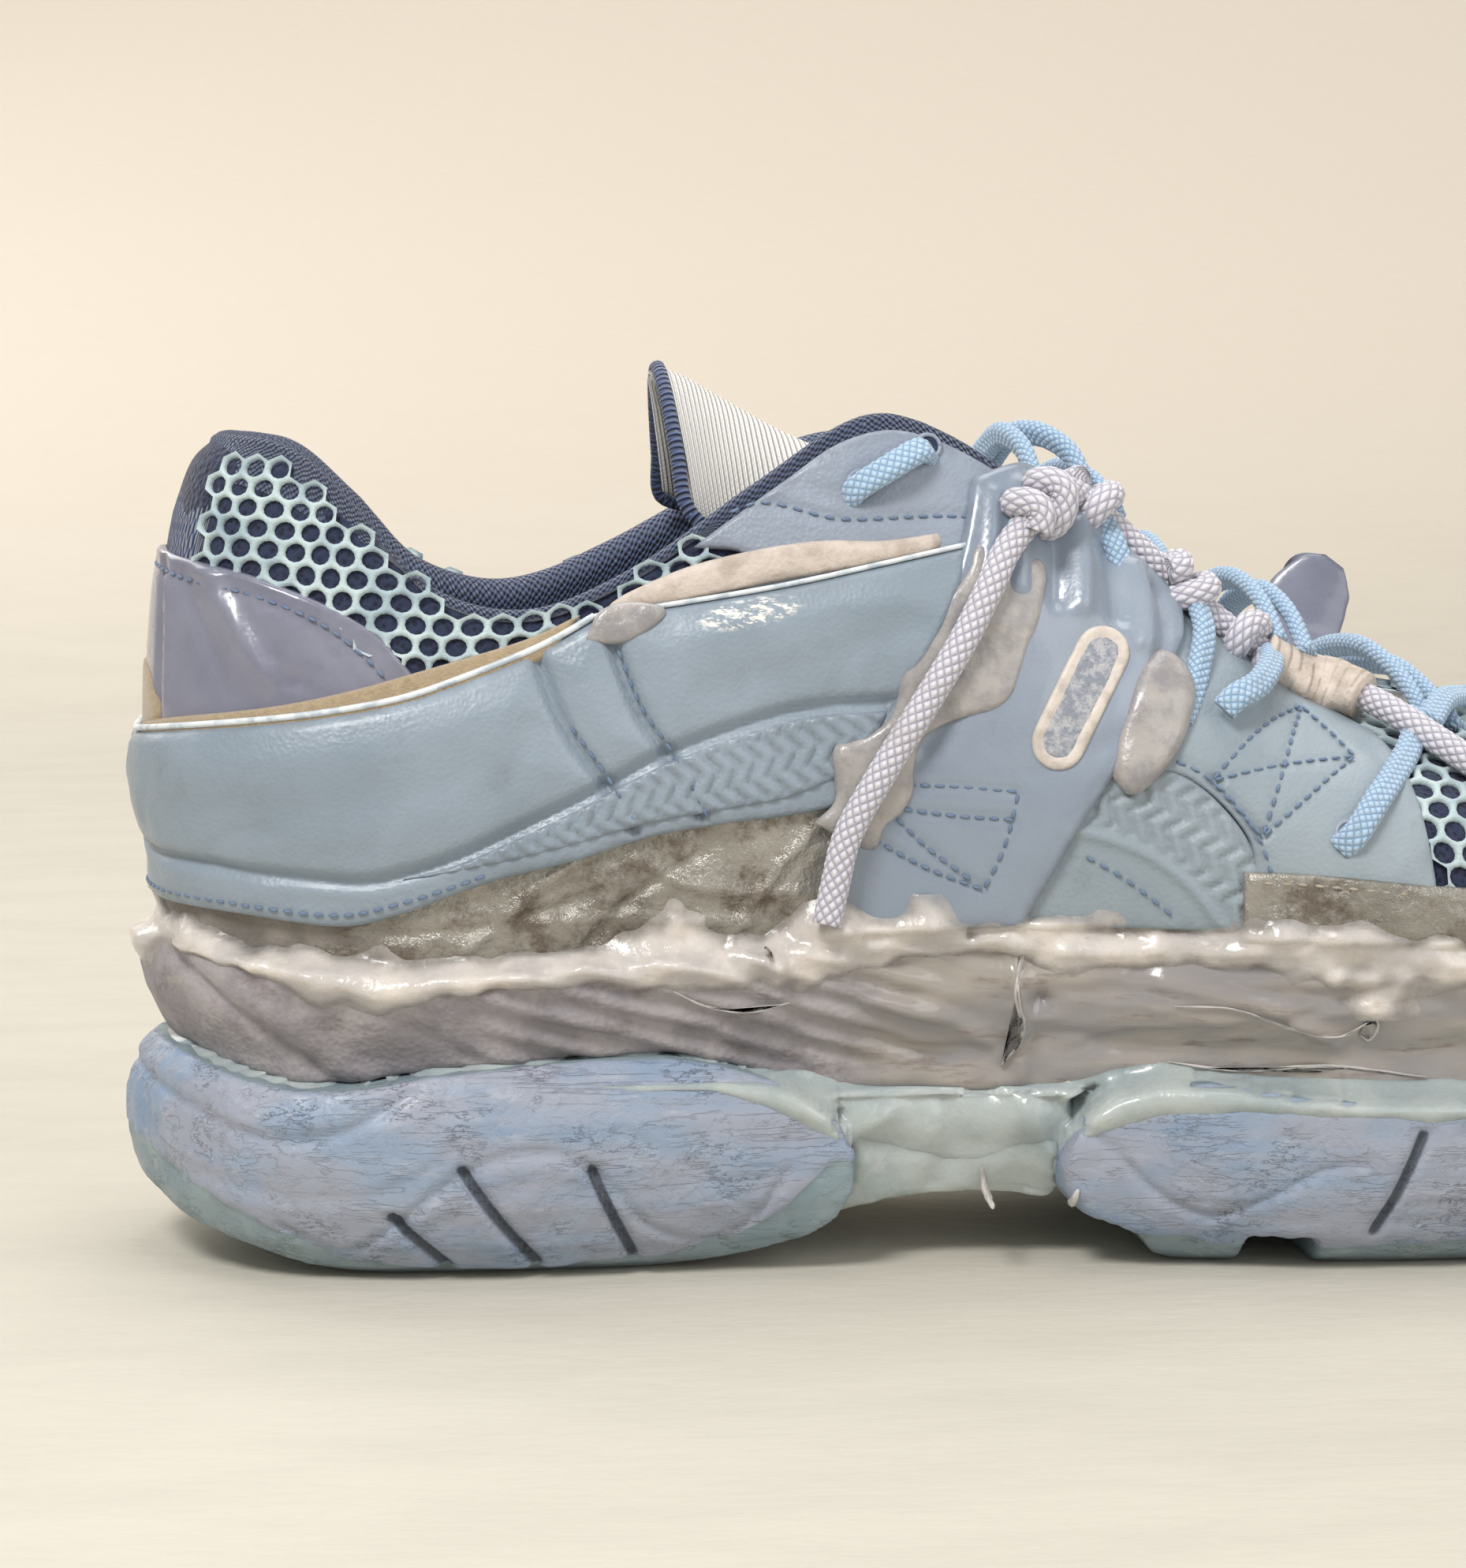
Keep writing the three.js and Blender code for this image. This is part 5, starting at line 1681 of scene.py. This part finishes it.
crushedFolds = [
    ([(9, 54), (20, 46), (37, 33.6)], -1.3, 1.0),
    ([(12, 55.5), (24, 47.5), (42, 35)], 0.8, 2.0),
    ([(36, 52), (48, 45), (60, 38)], -0.7, 1.3),
    ([(24, 54), (44, 50), (64, 50)], 0.7, 2.2),
    ([(58, 45), (84, 42), (120, 43)], -0.5, 1.8),
    ([(151, 56), (152.5, 46), (153.5, 34)], 1.5, 1.7),
    ([(176, 50), (192, 47), (206, 40)], 1.1, 1.4),
    ([(166, 40), (188, 42), (214, 50)], -0.9, 1.2),
    ([(126, 47), (140, 44), (150, 38)], 0.9, 1.5),
]


def midsoleRelief(points, normals):
    x, z = points[:, 0], points[:, 2]
    wave = np.sin((x * 0.30 + z * 0.95) * 2 * math.pi / 4.6 + lumps(points, 20) * 1.2)
    height = wave * 0.75 * ease(52, 70, x) * ease(150, 128, x) * ease(34, 38, z)
    height += pressed(points[:, [0, 2]], crushedFolds)
    film = ease(112, 134, x + lumps(points, 12, 3) * 8)
    creases = lumps(points * (0.16, 0.16, 1.0), 2.6, 1) * 0.8 + lumps(points * (0.3, 0.3, 1), 1.5, 2) * 0.35
    height += film * (creases + lumps(points, 9, 6) * 0.9)
    height -= 2.0 * bell(np.hypot(x - 156, z - 47) / 1.6)  # a hole in the film
    height += lumps(points, 10, 5) * 0.45 + lumps(points, 3.5, 8) * 0.18 * (1 - film)
    return height * sideways(normals), {"film": film}


moulded("midsole_foam", "midsole", 0.95, 2, midsoleRelief, soleLook["foam"], ["midsole"])

archFolds = [
    ([(122, 22), (128, 26), (134, 32)], 1.3, 2), ([(160, 18), (156, 26), (152, 33)], 1.3, 2),
    ([(139, 14), (141, 22), (140, 30)], -1.2, 2.4)
]


def archRelief(points, normals):
    height = lumps(points, 11, 3) * 1.3 + lumps(points * (1, 1, 0.5), 5, 4) * 0.7
    return (height + pressed(points[:, [0, 2]], archFolds)) * sideways(normals), {}


moulded("arch_gum", "arch_bridge", 0.9, 4, archRelief, soleLook["gum"], ["arch_bridge"])


def insoleRelief(points, normals):
    return (lumps(points, 18) * 0.5 + lumps(points, 5, 2) * 0.2) * ease(0.5, 0.9, normals[:, 2]), {}


moulded("insole_pad", "insole", 1.5, 2, insoleRelief, finishes["insole"], ["insole"])
print("sole made")


# molten glue: sheets that lie on what is under them, with lumps, drips and strings
def treeOf(*names):
    verts, polygons, start = [], [], 0
    for name in names:
        mesh = bpy.data.objects[name].data
        verts += [vert.co[:] for vert in mesh.vertices]
        polygons += [[n + start for n in polygon.vertices] for polygon in mesh.polygons]
        start += len(mesh.vertices)
    return BVHTree.FromPolygons(verts, polygons)


solidTree = treeOf(
    "midsole_foam", "upper_shell", "mudguard_foil_outer", "mudguard_foil_inner", "toe_foil", "heel_foil",
    "quarter_leather", "strap_outer", "strap_inner", "front_herringbone_outer", "front_herringbone_inner",
    "arch_gum"
)
padTree = treeOf("midsole_foam", "arch_gum", "outsole_heel_pad", "outsole_forefoot_pad")

drapeSettings = {"tuck": 1.2, "reach": 55, "bridge": 2.0, "footHeight": 3.0}


def drape(name, material, girths, heights, thickness, tree, replaced=()):
    # a sheet around the shoe between two heights, bridging steps; where thickness is below 0 it dips under
    reach, bridge, footHeight = (drapeSettings[key] for key in ("reach", "bridge", "footHeight"))
    columns, rows = len(girths) - 1, len(heights) - 1
    thin = {}
    foot = pattern.at(girths, footHeight)
    outs = pattern.normal(girths, footHeight)
    outs[:, 2] = 0
    outs = unit(outs)

    def shape(across, along):
        i, j = np.round(across * columns).astype(int), np.round(along * rows).astype(int)
        z = heights[j]
        starts = foot[i] + outs[i] * reach
        starts[:, 2] = z
        depth = np.full(len(i), float(reach))
        for n, (start, out) in enumerate(zip(toScene(starts), outs[i])):
            hit = tree.ray_cast(Vector(start), Vector(-out), reach / 1000 + 0.02)
            if hit[3] is not None:
                depth[n] = hit[3] * 1000
        thick = thickness(girths[i], z, starts - outs[i] * reach)
        table = np.full((columns + 1, rows + 1), float(reach))
        table[i, j] = depth
        rowHeight = heights[1] - heights[0]
        span = int(math.ceil(bridge * 2.5 / rowHeight))
        weights = bell(np.arange(-span, span + 1) * rowHeight / bridge)
        padded = np.pad(table, ((0, 0), (span, span)), "edge")
        eased = sum(weight * padded[:, n:n + rows + 1] for n, weight in enumerate(weights)) / weights.sum()
        eased = np.minimum(eased, table)[i, j]
        over = ease(-0.3, 0.3, thick)
        depth = eased * over + depth * (1 - over)
        for spot, value in zip(zip(i, j), ease(1.5, 0.1, thick)):
            thin[spot] = value
        return starts - outs[i] * (depth - np.maximum(thick, -drapeSettings["tuck"]))[:, None]

    mesh = gridMesh(name, columns, rows, shape, closed=True, flat=lambda a, b: (a, b))
    marks = np.zeros(len(mesh.vertices))
    for loop, spot in zip(mesh.loops, mesh.uv_layers["flat"].uv):
        marks[loop.vertex_index] = thin.get((round(spot.vector.x * columns), round(spot.vector.y * rows)), 0)
    markPoints(mesh, {"thin": marks})

    def settle(bm):
        soften(bm, 0.4)
        for face in bm.faces[:1]:
            middle = face.calc_center_median() * 1000 - Vector(shoeOrigin)
            if face.normal.dot(Vector((middle.x - 150, middle.y, 0))) < 0:
                bmesh.ops.reverse_faces(bm, faces=bm.faces)

    return finishPiece(name, edited(mesh, settle), material, replaced)


# drips and splashes: foot x, height, reach along x, reach in height, how much
glueSpots = [
    (119, 61.5, 5.5, 4.0, 3.4), (110.5, 54, 1.6, 5, 2.2), (212, 47.5, 6.5, 4.5, 2.6),
    (147, 62, 3.2, 5, 1.8), (136, 63, 4, 4, 1.6), (96, 60, 6, 3, 1.2), (122, 59, 3, 5, 2.0),
    (128, 55, 4, 4, 1.6), (168, 61, 7, 3, 1.4), (190, 60, 6, 3.4, 1.2), (222, 56, 5, 4, 1.5),
    (12, 52, 4, 4, 1.2), (30, 56, 6, 3, 1.2), (64, 57, 8, 3, 0.9), (204, 52, 2, 4, 1.4),
    (36, 50, 2.5, 4, 1.0), (240, 55, 6, 3, 1.2), (262, 56, 5, 3, 1.2)
]


def aroundShoe(girths, z):
    turn = girths / wholeWay * 2 * math.pi
    return np.stack([np.cos(turn) * wholeWay / 6.283, np.sin(turn) * wholeWay / 6.283, z], 1)


# how far the bead lies above the joint of upper and sole, along the foot
beadLift = [
    (0, 0.6), (30, 0), (60, -1.6), (100, -1.6), (136, -0.6), (160, -2.4), (190, -3.4), (230, -3.8),
    (270, -3), (310, -1.2)
]
beadSettings = {"thickness": 3.7, "tuck": 1.3, "half": 3.5}


def beadThickness(girths, z, foot):
    feather = curveThrough(featherLine, foot[:, 0])
    spot = aroundShoe(girths, z)
    middle = feather + np.interp(foot[:, 0], *np.array(beadLift).T) + lumps(spot * (1, 1, 0), 26, 1) * 1.6
    half = beadSettings["half"] + lumps(spot * (1, 1, 0), 13, 2) * 1.5 + lumps(spot * (1, 1, 0), 5, 3) * 1.3
    field = beadSettings["thickness"] * bell((z - middle) / half) - beadSettings["tuck"]
    for x, height, wide, tall, much in glueSpots:
        field += much * bell((foot[:, 0] - x) / wide) * bell((z - height) / tall)
    return (
        field + lumps(spot * (0.6, 0.6, 1), 5, 4) * 1.2 + lumps(spot * (0.7, 0.7, 1), 2.2, 5) * 0.5
        + lumps(spot, 1.6, 6) * 0.08
    )


wholeGirth = np.linspace(pattern.girths[-1], pattern.girths[0], 1101)
drape(
    "glue_bead_soft", finishes["glue"], wholeGirth, np.linspace(44, 66, 42), beadThickness, solidTree,
    ["glue_bead"]
)

seamHeight = [
    (0, 36), (20, 35), (60, 34), (100, 33.5), (114, 31), (124, 27), (140, 24), (160, 27), (176, 32),
    (200, 30.5), (240, 30), (300, 36)
]
seamHalf = [(0, 1.0), (100, 1.4), (116, 5), (134, 6.5), (150, 6.5), (168, 5), (190, 3.4), (300, 2.6)]
seamThickness = [(0, 0.2), (55, 0.4), (75, 2.0), (95, 2.4), (115, 3.4), (300, 3.0)]


def padSeam(girths, z, foot):
    # the gum film that hangs over the forefoot pad and fills the joint of midsole and pads
    spot = aroundShoe(girths, z)
    line, half, thick = (
        np.interp(foot[:, 0], *np.array(table).T) for table in (seamHeight, seamHalf, seamThickness)
    )
    half = half + lumps(spot * (1, 1, 0), 9, 4) * 0.8
    field = thick * bell((z - line) / np.maximum(half, 0.8)) - 1.7
    return field + lumps(spot * (0.4, 0.4, 1), 4, 5) * 0.45 + lumps(spot, 2.4, 6) * 0.14


drape("gum_seam", soleLook["gum"], wholeGirth[::2], np.linspace(16, 42, 40), padSeam, padTree)


def stringTaper(along):
    return 0.25 + 0.75 * np.sin(along * math.pi) ** 0.5


def stringBumps(angle, along):
    return 0.25 * lumps(np.stack([along, angle * 0.8], 1), 2.2, 3)


def onSole(x, z):
    # the spot on the sole's outer side, a little inside it
    hit = padTree.ray_cast(Vector(toScene((x, -120, z))), Vector((0, 1, 0)), 0.2)
    place = np.array(hit[0]) * 1000 - shoeOrigin if hit[0] is not None else np.array([x, -45.0, z])
    return place + (0, -0.4, 0)


# threads of glue: width, and x and height of its points
glueThreads = [
    (0.9, [(108, 58), (110, 55), (110.8, 52.5), (112, 50.8)]),
    (1.1, [(147, 17), (147.5, 14), (147, 12.4)]),
    (1.3, [(162, 15), (161.5, 13), (162.3, 11)]),
    (0.6, [(211, 46), (212.5, 43), (211.4, 40.2), (209.6, 41.4)]),
    (0.4, [(93, 50), (99, 47), (106, 46), (113, 47.5)]),
    (0.5, [(178, 36), (190, 34.5), (205, 35.5), (222, 33.5)]),
    (0.9, [(153, 56), (151.5, 49), (153, 41), (150, 35)]),
    (0.4, [(178, 46.5), (188, 46), (198, 42.5), (206, 41), (211, 44)]),
]
strings = []
for width, line in glueThreads:
    path = smoothLine([onSole(x, z) for x, z in line], 0.7)
    strings.append(tubeMesh("glueThread", path, width, sides=8, taper=stringTaper, bumps=stringBumps))
finishPiece("glue_strings", joinMeshes("glueStrings", strings), finishes["glue"])
print("glue made")


# old and fresh glue on the upper
def lumpRelief(strength):
    return lambda flat, skin: lumps(skin, 6, 2) * strength + lumps(skin, 2.6, 3) * strength * 0.5


strapLump = [
    (181.5, 27), (183.5, 35), (186.5, 44), (190, 48.5), (194.5, 47), (196.8, 41), (194.5, 33), (190, 26.5),
    (185, 23.5), (181.5, 27)
]
stripTop = [
    (96, 56.8), (99.5, 60), (105, 62.4), (112, 64.8), (122, 66.6), (133, 67.4), (143, 66.8), (152, 67.8)
]
stripLow = [(152, 67.8), (153, 65.6), (140, 62.6), (124, 60.8), (109, 58.6), (96, 56.8)]
panelSpot = [(94, 53.5), (97, 58.2), (103, 59.2), (108, 57.6), (106, 55), (100, 52.6), (94, 53.5)]
cutPiece(
    "strap_glue_lump", [strapLump], finishes["oldGlue"], thick=3.4, under=1.6, rounded=3.2,
    relief=lumpRelief(0.6), slot="glue"
)
cutPiece(
    "old_glue_strip", [stripTop, stripLow], finishes["tape"], thick=2.0, under=1.2, rounded=1.8,
    relief=lumpRelief(0.55), slot="glue"
)
cutPiece(
    "glue_spot", [panelSpot], finishes["oldGlue"], thick=1.3, under=3.5, rounded=1.6, step=1.2,
    relief=lumpRelief(0.4), slot="glue"
)
print("upper glue made")


# tongue: padded knit with navy piping
tongueRows = np.array([
    [(246, -13, 82), (247, 4, 85.5), (246, 22, 82)],
    [(228, -18, 81.5), (229, 3.5, 90), (228, 24, 84)],
    [(209, -23, 85), (210, 2.5, 97), (209, 26, 88)],
    [(190, -25, 95), (190, 2, 108.5), (190, 28, 98)],
    [(168, -25, 108), (168, 2, 123.5), (168, 28, 109.5)],
    [(150, -25, 118), (149, 2, 134), (150, 27.5, 119.5)],
    [(128, -23, 121.5), (125, 2, 139), (128, 26, 123)],
    [(110, -21, 125), (108, 2, 147), (110, 25, 127)],
    [(98, -18.5, 129.5), (94.5, 2, 155.5), (97, 22, 132)],
])
tongueSettings = {
    "thickness": 5.0, "softness": 0.7, "pipingWidth": 2.2, "pipingHeight": 2.6, "pipingDrop": 1.6
}


def tonguePoint(across, along):
    # across from -1 near to 1 far, along from 0 at the toe to 1 at the top
    rows = np.arange(len(tongueRows))
    spot = np.asarray(along, float) * (len(rows) - 1)
    near, centre, far = (
        np.stack([curveThrough(np.stack([rows, tongueRows[:, n, axis]], 1), spot) for axis in range(3)], -1)
        for n in range(3)
    )
    k = (np.asarray(across, float)[..., None] + 1) / 2
    middle = 2 * centre - (near + far) / 2
    return near * (1 - k) ** 2 + middle * 2 * k * (1 - k) + far * k**2


def tongueUp(across, along):
    step = 0.01
    sideways = tonguePoint(across + step, along) - tonguePoint(across - step, along)
    lengthways = (
        tonguePoint(across, np.minimum(along + step, 1)) - tonguePoint(across, np.maximum(along - step, 0))
    )
    return unit(np.cross(sideways, lengthways)) * -1


def tongueShape(around, along):
    angle = around * 2 * math.pi
    across = np.sign(np.cos(angle)) * np.abs(np.cos(angle)) ** 0.75
    over = np.sign(np.sin(angle)) * np.abs(np.sin(angle)) ** 0.8
    up = tongueUp(across * 0.98, along)
    up = np.where(up[:, 2:] < 0, -up, up)
    ends = np.clip(1 - (2 * along - 1) ** 14, 0.02, 1) ** 0.5
    thickness = tongueSettings["thickness"]
    place = tonguePoint(across, along) - up * thickness / 2
    soft = (lumps(place, 14, 2) * 0.6 + lumps(place, 6, 3) * 0.2) * tongueSettings["softness"]
    return place + up * (over * ends * thickness / 2 + soft)[:, None]


tongueMesh = gridMesh(
    "tongue", 72, 120, tongueShape, closed=True, capped=True, flat=lambda a, b: (a * 12, b * 17)
)
tongue = finishPiece("tongue_knit", tongueMesh, finishes["knit"], ["tongue"])
edgeSpots = (
    [(-1, t) for t in np.linspace(0.55, 1, 30)] + [(across, 1) for across in np.linspace(-0.95, 0.95, 30)]
)
edgeSpots += [(1, t) for t in np.linspace(1, 0.55, 30)]
edgeLine = np.array([tonguePoint(*spot) for spot in edgeSpots]) - (0, 0, tongueSettings["pipingDrop"])
piping = tubeMesh(
    "tonguePiping", smoothLine(edgeLine[::3], 1.2), tongueSettings["pipingWidth"],
    tongueSettings["pipingHeight"]
)
finishPiece("tongue_piping", piping, finishes["navy"])
print("tongue made")


# laces and the cord tied into them
laceSettings = {"width": 4.7, "height": 3.3, "step": 0.6, "strand": 1.5, "relief": 0.05}


def braidBumps(pitch, turns, depth):
    # strands crossing over and under each other in diamonds
    def bumps(angle, along):
        run = along * math.pi / pitch
        return depth * (np.abs(np.sin(run + turns * angle) * np.sin(run - turns * angle)) ** 0.6 * 1.6 - 0.8)

    return bumps


def laceBumps(angle, along):
    weave = braidBumps(laceSettings["strand"], 4, laceSettings["relief"])(angle, along)
    valley = bell((angle - math.pi / 2) / 0.32) + bell((angle - 1.5 * math.pi) / 0.32)
    return weave - 0.2 * valley


def lace(name, points, up):
    s = laceSettings
    path = smoothLine(points, s["step"])
    return tubeMesh(
        name, path, s["width"], s["height"], sides=22, up=unit(np.array(up, float)), bumps=laceBumps
    )


laceRuns = {
    "bar": (
        [
            (123.6, -29.5, 131.2), (124.8, -32.6, 133.6), (130.5, -33.6, 137.4), (136.2, -30.8, 140.2),
            (138, -27.2, 139.2)
        ],
        (0, -1, 0.6)
    ),
    "stub": ([(151.5, -31.5, 126), (154, -31.8, 128.5), (157, -30, 130.5)], (0, -1, 0.3)),
    "loop": (
        [
            (154, 15, 131.5), (156, 8, 138), (157.5, 0, 141.6), (161.5, -9, 142), (165.5, -15, 138.5),
            (166.6, -18.5, 133), (164, -20, 128)
        ],
        (1, 0.2, 0.4)
    ),
    "loopBack": (
        [(151, 10, 134), (153.5, 4, 139), (155, -5, 142), (157, -13, 140), (158, -19, 135)], (1, 0.2, 0.4)
    ),
    "second": (
        [
            (163.5, 30, 121), (164.5, 22, 128.6), (166, 9, 134.2), (168, -2, 135.6), (171, -12, 133),
            (173, -18, 128.5)
        ],
        (1, 0, 0.6)
    ),
    "underSecond": ([(169.5, -22, 127.5), (171.2, -24.5, 123.5), (172.2, -26, 119)], (0.4, -1, 0.2)),
    "third": (
        [
            (186, -22.5, 114), (186.3, -28, 109), (184.5, -32.5, 103.5), (182.3, -36.5, 98.5),
            (179.5, -40.5, 95)
        ],
        (0.6, -0.6, 0.5)
    ),
    "fourth": (
        [
            (186.8, -40.5, 96.5), (189, -40.2, 98.6), (193.5, -37, 100.4), (198, -29, 103.3),
            (199.5, -22.5, 104.5)
        ],
        (0.3, -0.8, 0.5)
    ),
    "fifth": (
        [
            (205.2, -49, 73.6), (207.4, -50.2, 76.2), (212, -47, 81.6), (216.5, -41.5, 85.2),
            (221.5, -34, 89.5), (224.5, -27, 94)
        ],
        (0.3, -0.8, 0.5)
    ),
    "crossA": (
        [
            (201.8, -20.5, 106), (200.5, -12, 112.6), (198.4, -2, 116), (196.5, 9, 114.5), (196, 19, 109.5),
            (197, 27.5, 103)
        ],
        (1, 0, 0.8)
    ),
    "crossB": (
        [
            (206.6, -21, 104), (205.6, -12, 110.6), (203.6, -2, 113.8), (201.8, 9, 112), (201, 19, 106.8),
            (202, 27.5, 100)
        ],
        (1, 0, 0.8)
    ),
    "crossC": (
        [
            (228, -22, 92.5), (226, -14, 98.6), (222.5, -3, 103.3), (220, 8, 103), (218.5, 17, 100.4),
            (219, 25.5, 95)
        ],
        (1, 0, 0.8)
    ),
    "crossD": (
        [
            (234, -21, 90.5), (232, -13, 95.2), (228.8, -3, 99.6), (226, 8, 99.8), (224.5, 15.5, 98.6),
            (225, 24, 93)
        ],
        (1, 0, 0.8)
    ),
    "crossE": (
        [
            (178.5, -20, 118), (177.5, -12, 122.6), (176.6, 0, 126), (177, 12, 124), (178, 22, 119),
            (179, 29, 112.5)
        ],
        (1, 0, 0.8)
    ),
    "crossF": (
        [
            (184, -20, 114.5), (183.6, -12, 119), (183, 0, 122.5), (183, 12, 121), (184, 22, 115.5),
            (185, 29, 109)
        ],
        (1, 0, 0.8)
    ),
    "front": (
        [(226, -30, 93), (231, -22, 96), (238, -12, 95.5), (243, -4, 95), (247, 4, 93.5)], (0.6, -0.2, 1)
    ),
    "innerA": ([(199.5, 20, 104), (205, 28, 98), (209, 36, 92)], (0.3, 0.8, 0.5)),
    "innerB": ([(222, 19, 96), (224, 28, 91), (224, 36, 86)], (0.3, 0.8, 0.5)),
    "innerC": ([(178, 21, 114.5), (184, 27, 107), (188, 33, 101)], (0.3, 0.8, 0.5)),
}
laceMeshes = [lace(name, points, up) for name, (points, up) in laceRuns.items()]
finishPiece("lace_weave", joinMeshes("laceWeave", laceMeshes), finishes["lace"], ["laces"])

cordRoute = [
    (118.5, -44, 61.5), (120, -43.6, 68), (122, -43.4, 76), (128, -43.6, 87), (135, -43, 98),
    (142, -41.4, 109), (147, -38.9, 118), (150, -36.6, 123.5), (153.5, -34, 127.5),
    (157.5, -30.8, 131.2), (162, -26.2, 133), (166, -22.4, 131.4), (169.5, -20.4, 128.6),
    (177, -20, 122), (184, -20.3, 115.5), (194.6, -20.5, 107), (203, -20.5, 102.2),
    (209.5, -20.8, 99.2), (216, -24.6, 96.8), (221, -30, 93.8), (226, -35, 90.2), (232, -39.5, 86),
    (239, -43.3, 80.6), (245, -46.4, 74.8), (249, -48.4, 68.5)
]
ropePath = smoothLine(cordRoute, 0.55)
ropeDiameter = 5.0
ropeBraid = braidBumps(2.2, 4, 0.07)
ropeMesh = tubeMesh("tieRope", ropePath, ropeDiameter * 0.97, sides=28, bumps=ropeBraid)
rope = finishPiece("tie_rope", ropeMesh, finishes["cord"], ["tie_cord"])


def knotMesh(name, spot, size, lean):
    # the rope wound round itself about one and a half times
    i = int(np.argmin(np.linalg.norm(ropePath - spot, axis=1)))
    forward = unit(ropePath[min(i + 4, len(ropePath) - 1)] - ropePath[max(i - 4, 0)])
    sideways = unit(np.cross(forward, (0.3, -0.4, 1)))
    over = np.cross(sideways, forward)
    turn = np.linspace(-0.3, 2 * math.pi * 1.55, 26)
    share = (turn - turn[0]) / (turn[-1] - turn[0]) - 0.5
    radius = size * (0.62 + 0.38 * np.cos(share * 2.2)) * 0.92
    winding = sideways * np.cos(turn + lean)[:, None] + over * np.sin(turn + lean)[:, None]
    ring = ropePath[i] + forward * (share * size * 2.5)[:, None] + winding * radius[:, None]
    ring += forward * (np.sin(turn * 2 + lean) * size * 0.22)[:, None]
    return tubeMesh(name, smoothLine(ring, 0.6), ropeDiameter * 0.98, sides=24, bumps=ropeBraid)


# where each knot sits, its size and how far round it starts
knotSettings = [
    ((156.5, -31.5, 130.5), 4.1, 0.4),
    ((168, -21, 130), 4.0, 2.6),
    ((184, -20.3, 115.5), 3.9, 0.9),
    ((195.5, -20.5, 106.5), 3.9, 3.4),
]
for n, (spot, size, lean) in enumerate(knotSettings):
    finishPiece(
            f"rope_knot_{n}", knotMesh(f"ropeKnot{n}", spot, size, lean), finishes["cord"]
        )


tapeSettings = {"start": (198.5, -20.5, 104.5), "end": (215.5, -24.4, 97), "width": 5.6, "height": 3.9}


def tapeShape(around, along):
    s = tapeSettings
    i, j = (np.argmin(np.linalg.norm(ropePath - s[key], axis=1)) for key in ("start", "end"))
    spot = np.round(i + along * (j - i)).astype(int)
    forward, sideways, upward = framesAlong(ropePath, unit(np.array([0.3, -0.5, 1])))
    angle = around * 2 * math.pi
    swell = (
        1 + 0.16 * lumps(np.stack([along * 15, np.cos(angle) * 4, np.sin(angle) * 4], 1), 3.4)
        + 0.1 * np.sin(angle * 2 + along * 5)
    )
    across = sideways[spot] * (np.cos(angle) * s["width"] * swell)[:, None]
    return ropePath[spot] + across + upward[spot] * (np.sin(angle) * s["height"] * swell)[:, None]


tapeMesh = gridMesh("ropeTape", 40, 44, tapeShape, closed=True, capped=True)
tape = finishPiece("rope_tape", tapeMesh, finishes["tape"])
toScene(cordRoute[0])
toScene(ropePath).tolist()


# the old glue smear that holds the cord to the strap
def flatOf(points):
    # the nearest spots of the pattern, on the part of the outer side that the cord passes
    us, ws = np.meshgrid(np.arange(95, 175, 1.0), np.arange(2, 95, 1.0), indexing="ij")
    grid = pattern.lifted(us.ravel(), ws.ravel(), 4.0)
    best = [int(np.argmin(np.linalg.norm(grid - point, axis=1))) for point in points]
    return np.stack([us.ravel()[best], ws.ravel()[best]], 1)


ropeFlat = flatOf(smoothLine(cordRoute[2:8], 4.0))
runFlat = unit(np.gradient(ropeFlat, axis=0))
acrossFlat = np.stack([runFlat[:, 1], -runFlat[:, 0]], 1)
share = np.linspace(0, 1, len(ropeFlat))
leftWide = 3.6 + 2.2 * np.sin(share * 9) ** 2 + 1.5 * lumps(ropeFlat, 7, 3)
rightWide = 4.2 + 5.5 * bell((share - 0.68) / 0.2) + 1.5 * lumps(ropeFlat, 6, 5)
smearEdge = np.vstack(
    [ropeFlat - acrossFlat * leftWide[:, None], (ropeFlat + acrossFlat * rightWide[:, None])[::-1]]
)
cutPiece(
    "rope_glue_smear", [np.vstack([smearEdge, smearEdge[:1]])], finishes["oldGlue"], thick=1.5, under=3.2,
    rounded=2.2, step=1.3, relief=lumpRelief(0.35), slot="glue"
)
print("smear made")


# floor
floorColour = stageSettings["floorColour"]
f = Finish("paleFloor", 0.75)
grain = f.noise(22, 6, roughness=0.7, stretch=(0.35, 1, 1))
colour = f.mix(f.between(grain, 0.35, 0.7), floorColour, tuple(c * 0.94 for c in floorColour[:3]) + (1,))
colour = f.mix(
    f.patches((0.66, 0.74), 1.2, 5, roughness=0.8, stretch=(0.2, 1, 1)) * 0.35, colour, rgb(170, 160, 142)
)
f.colour(f.mix(f.between(f.y, 700, 1300), colour, stageSettings["wallColour"]))
f.bump(f.noise(3, 5, stretch=(0.4, 1, 1)), 0.3)
floor.data.materials.append(f.material)
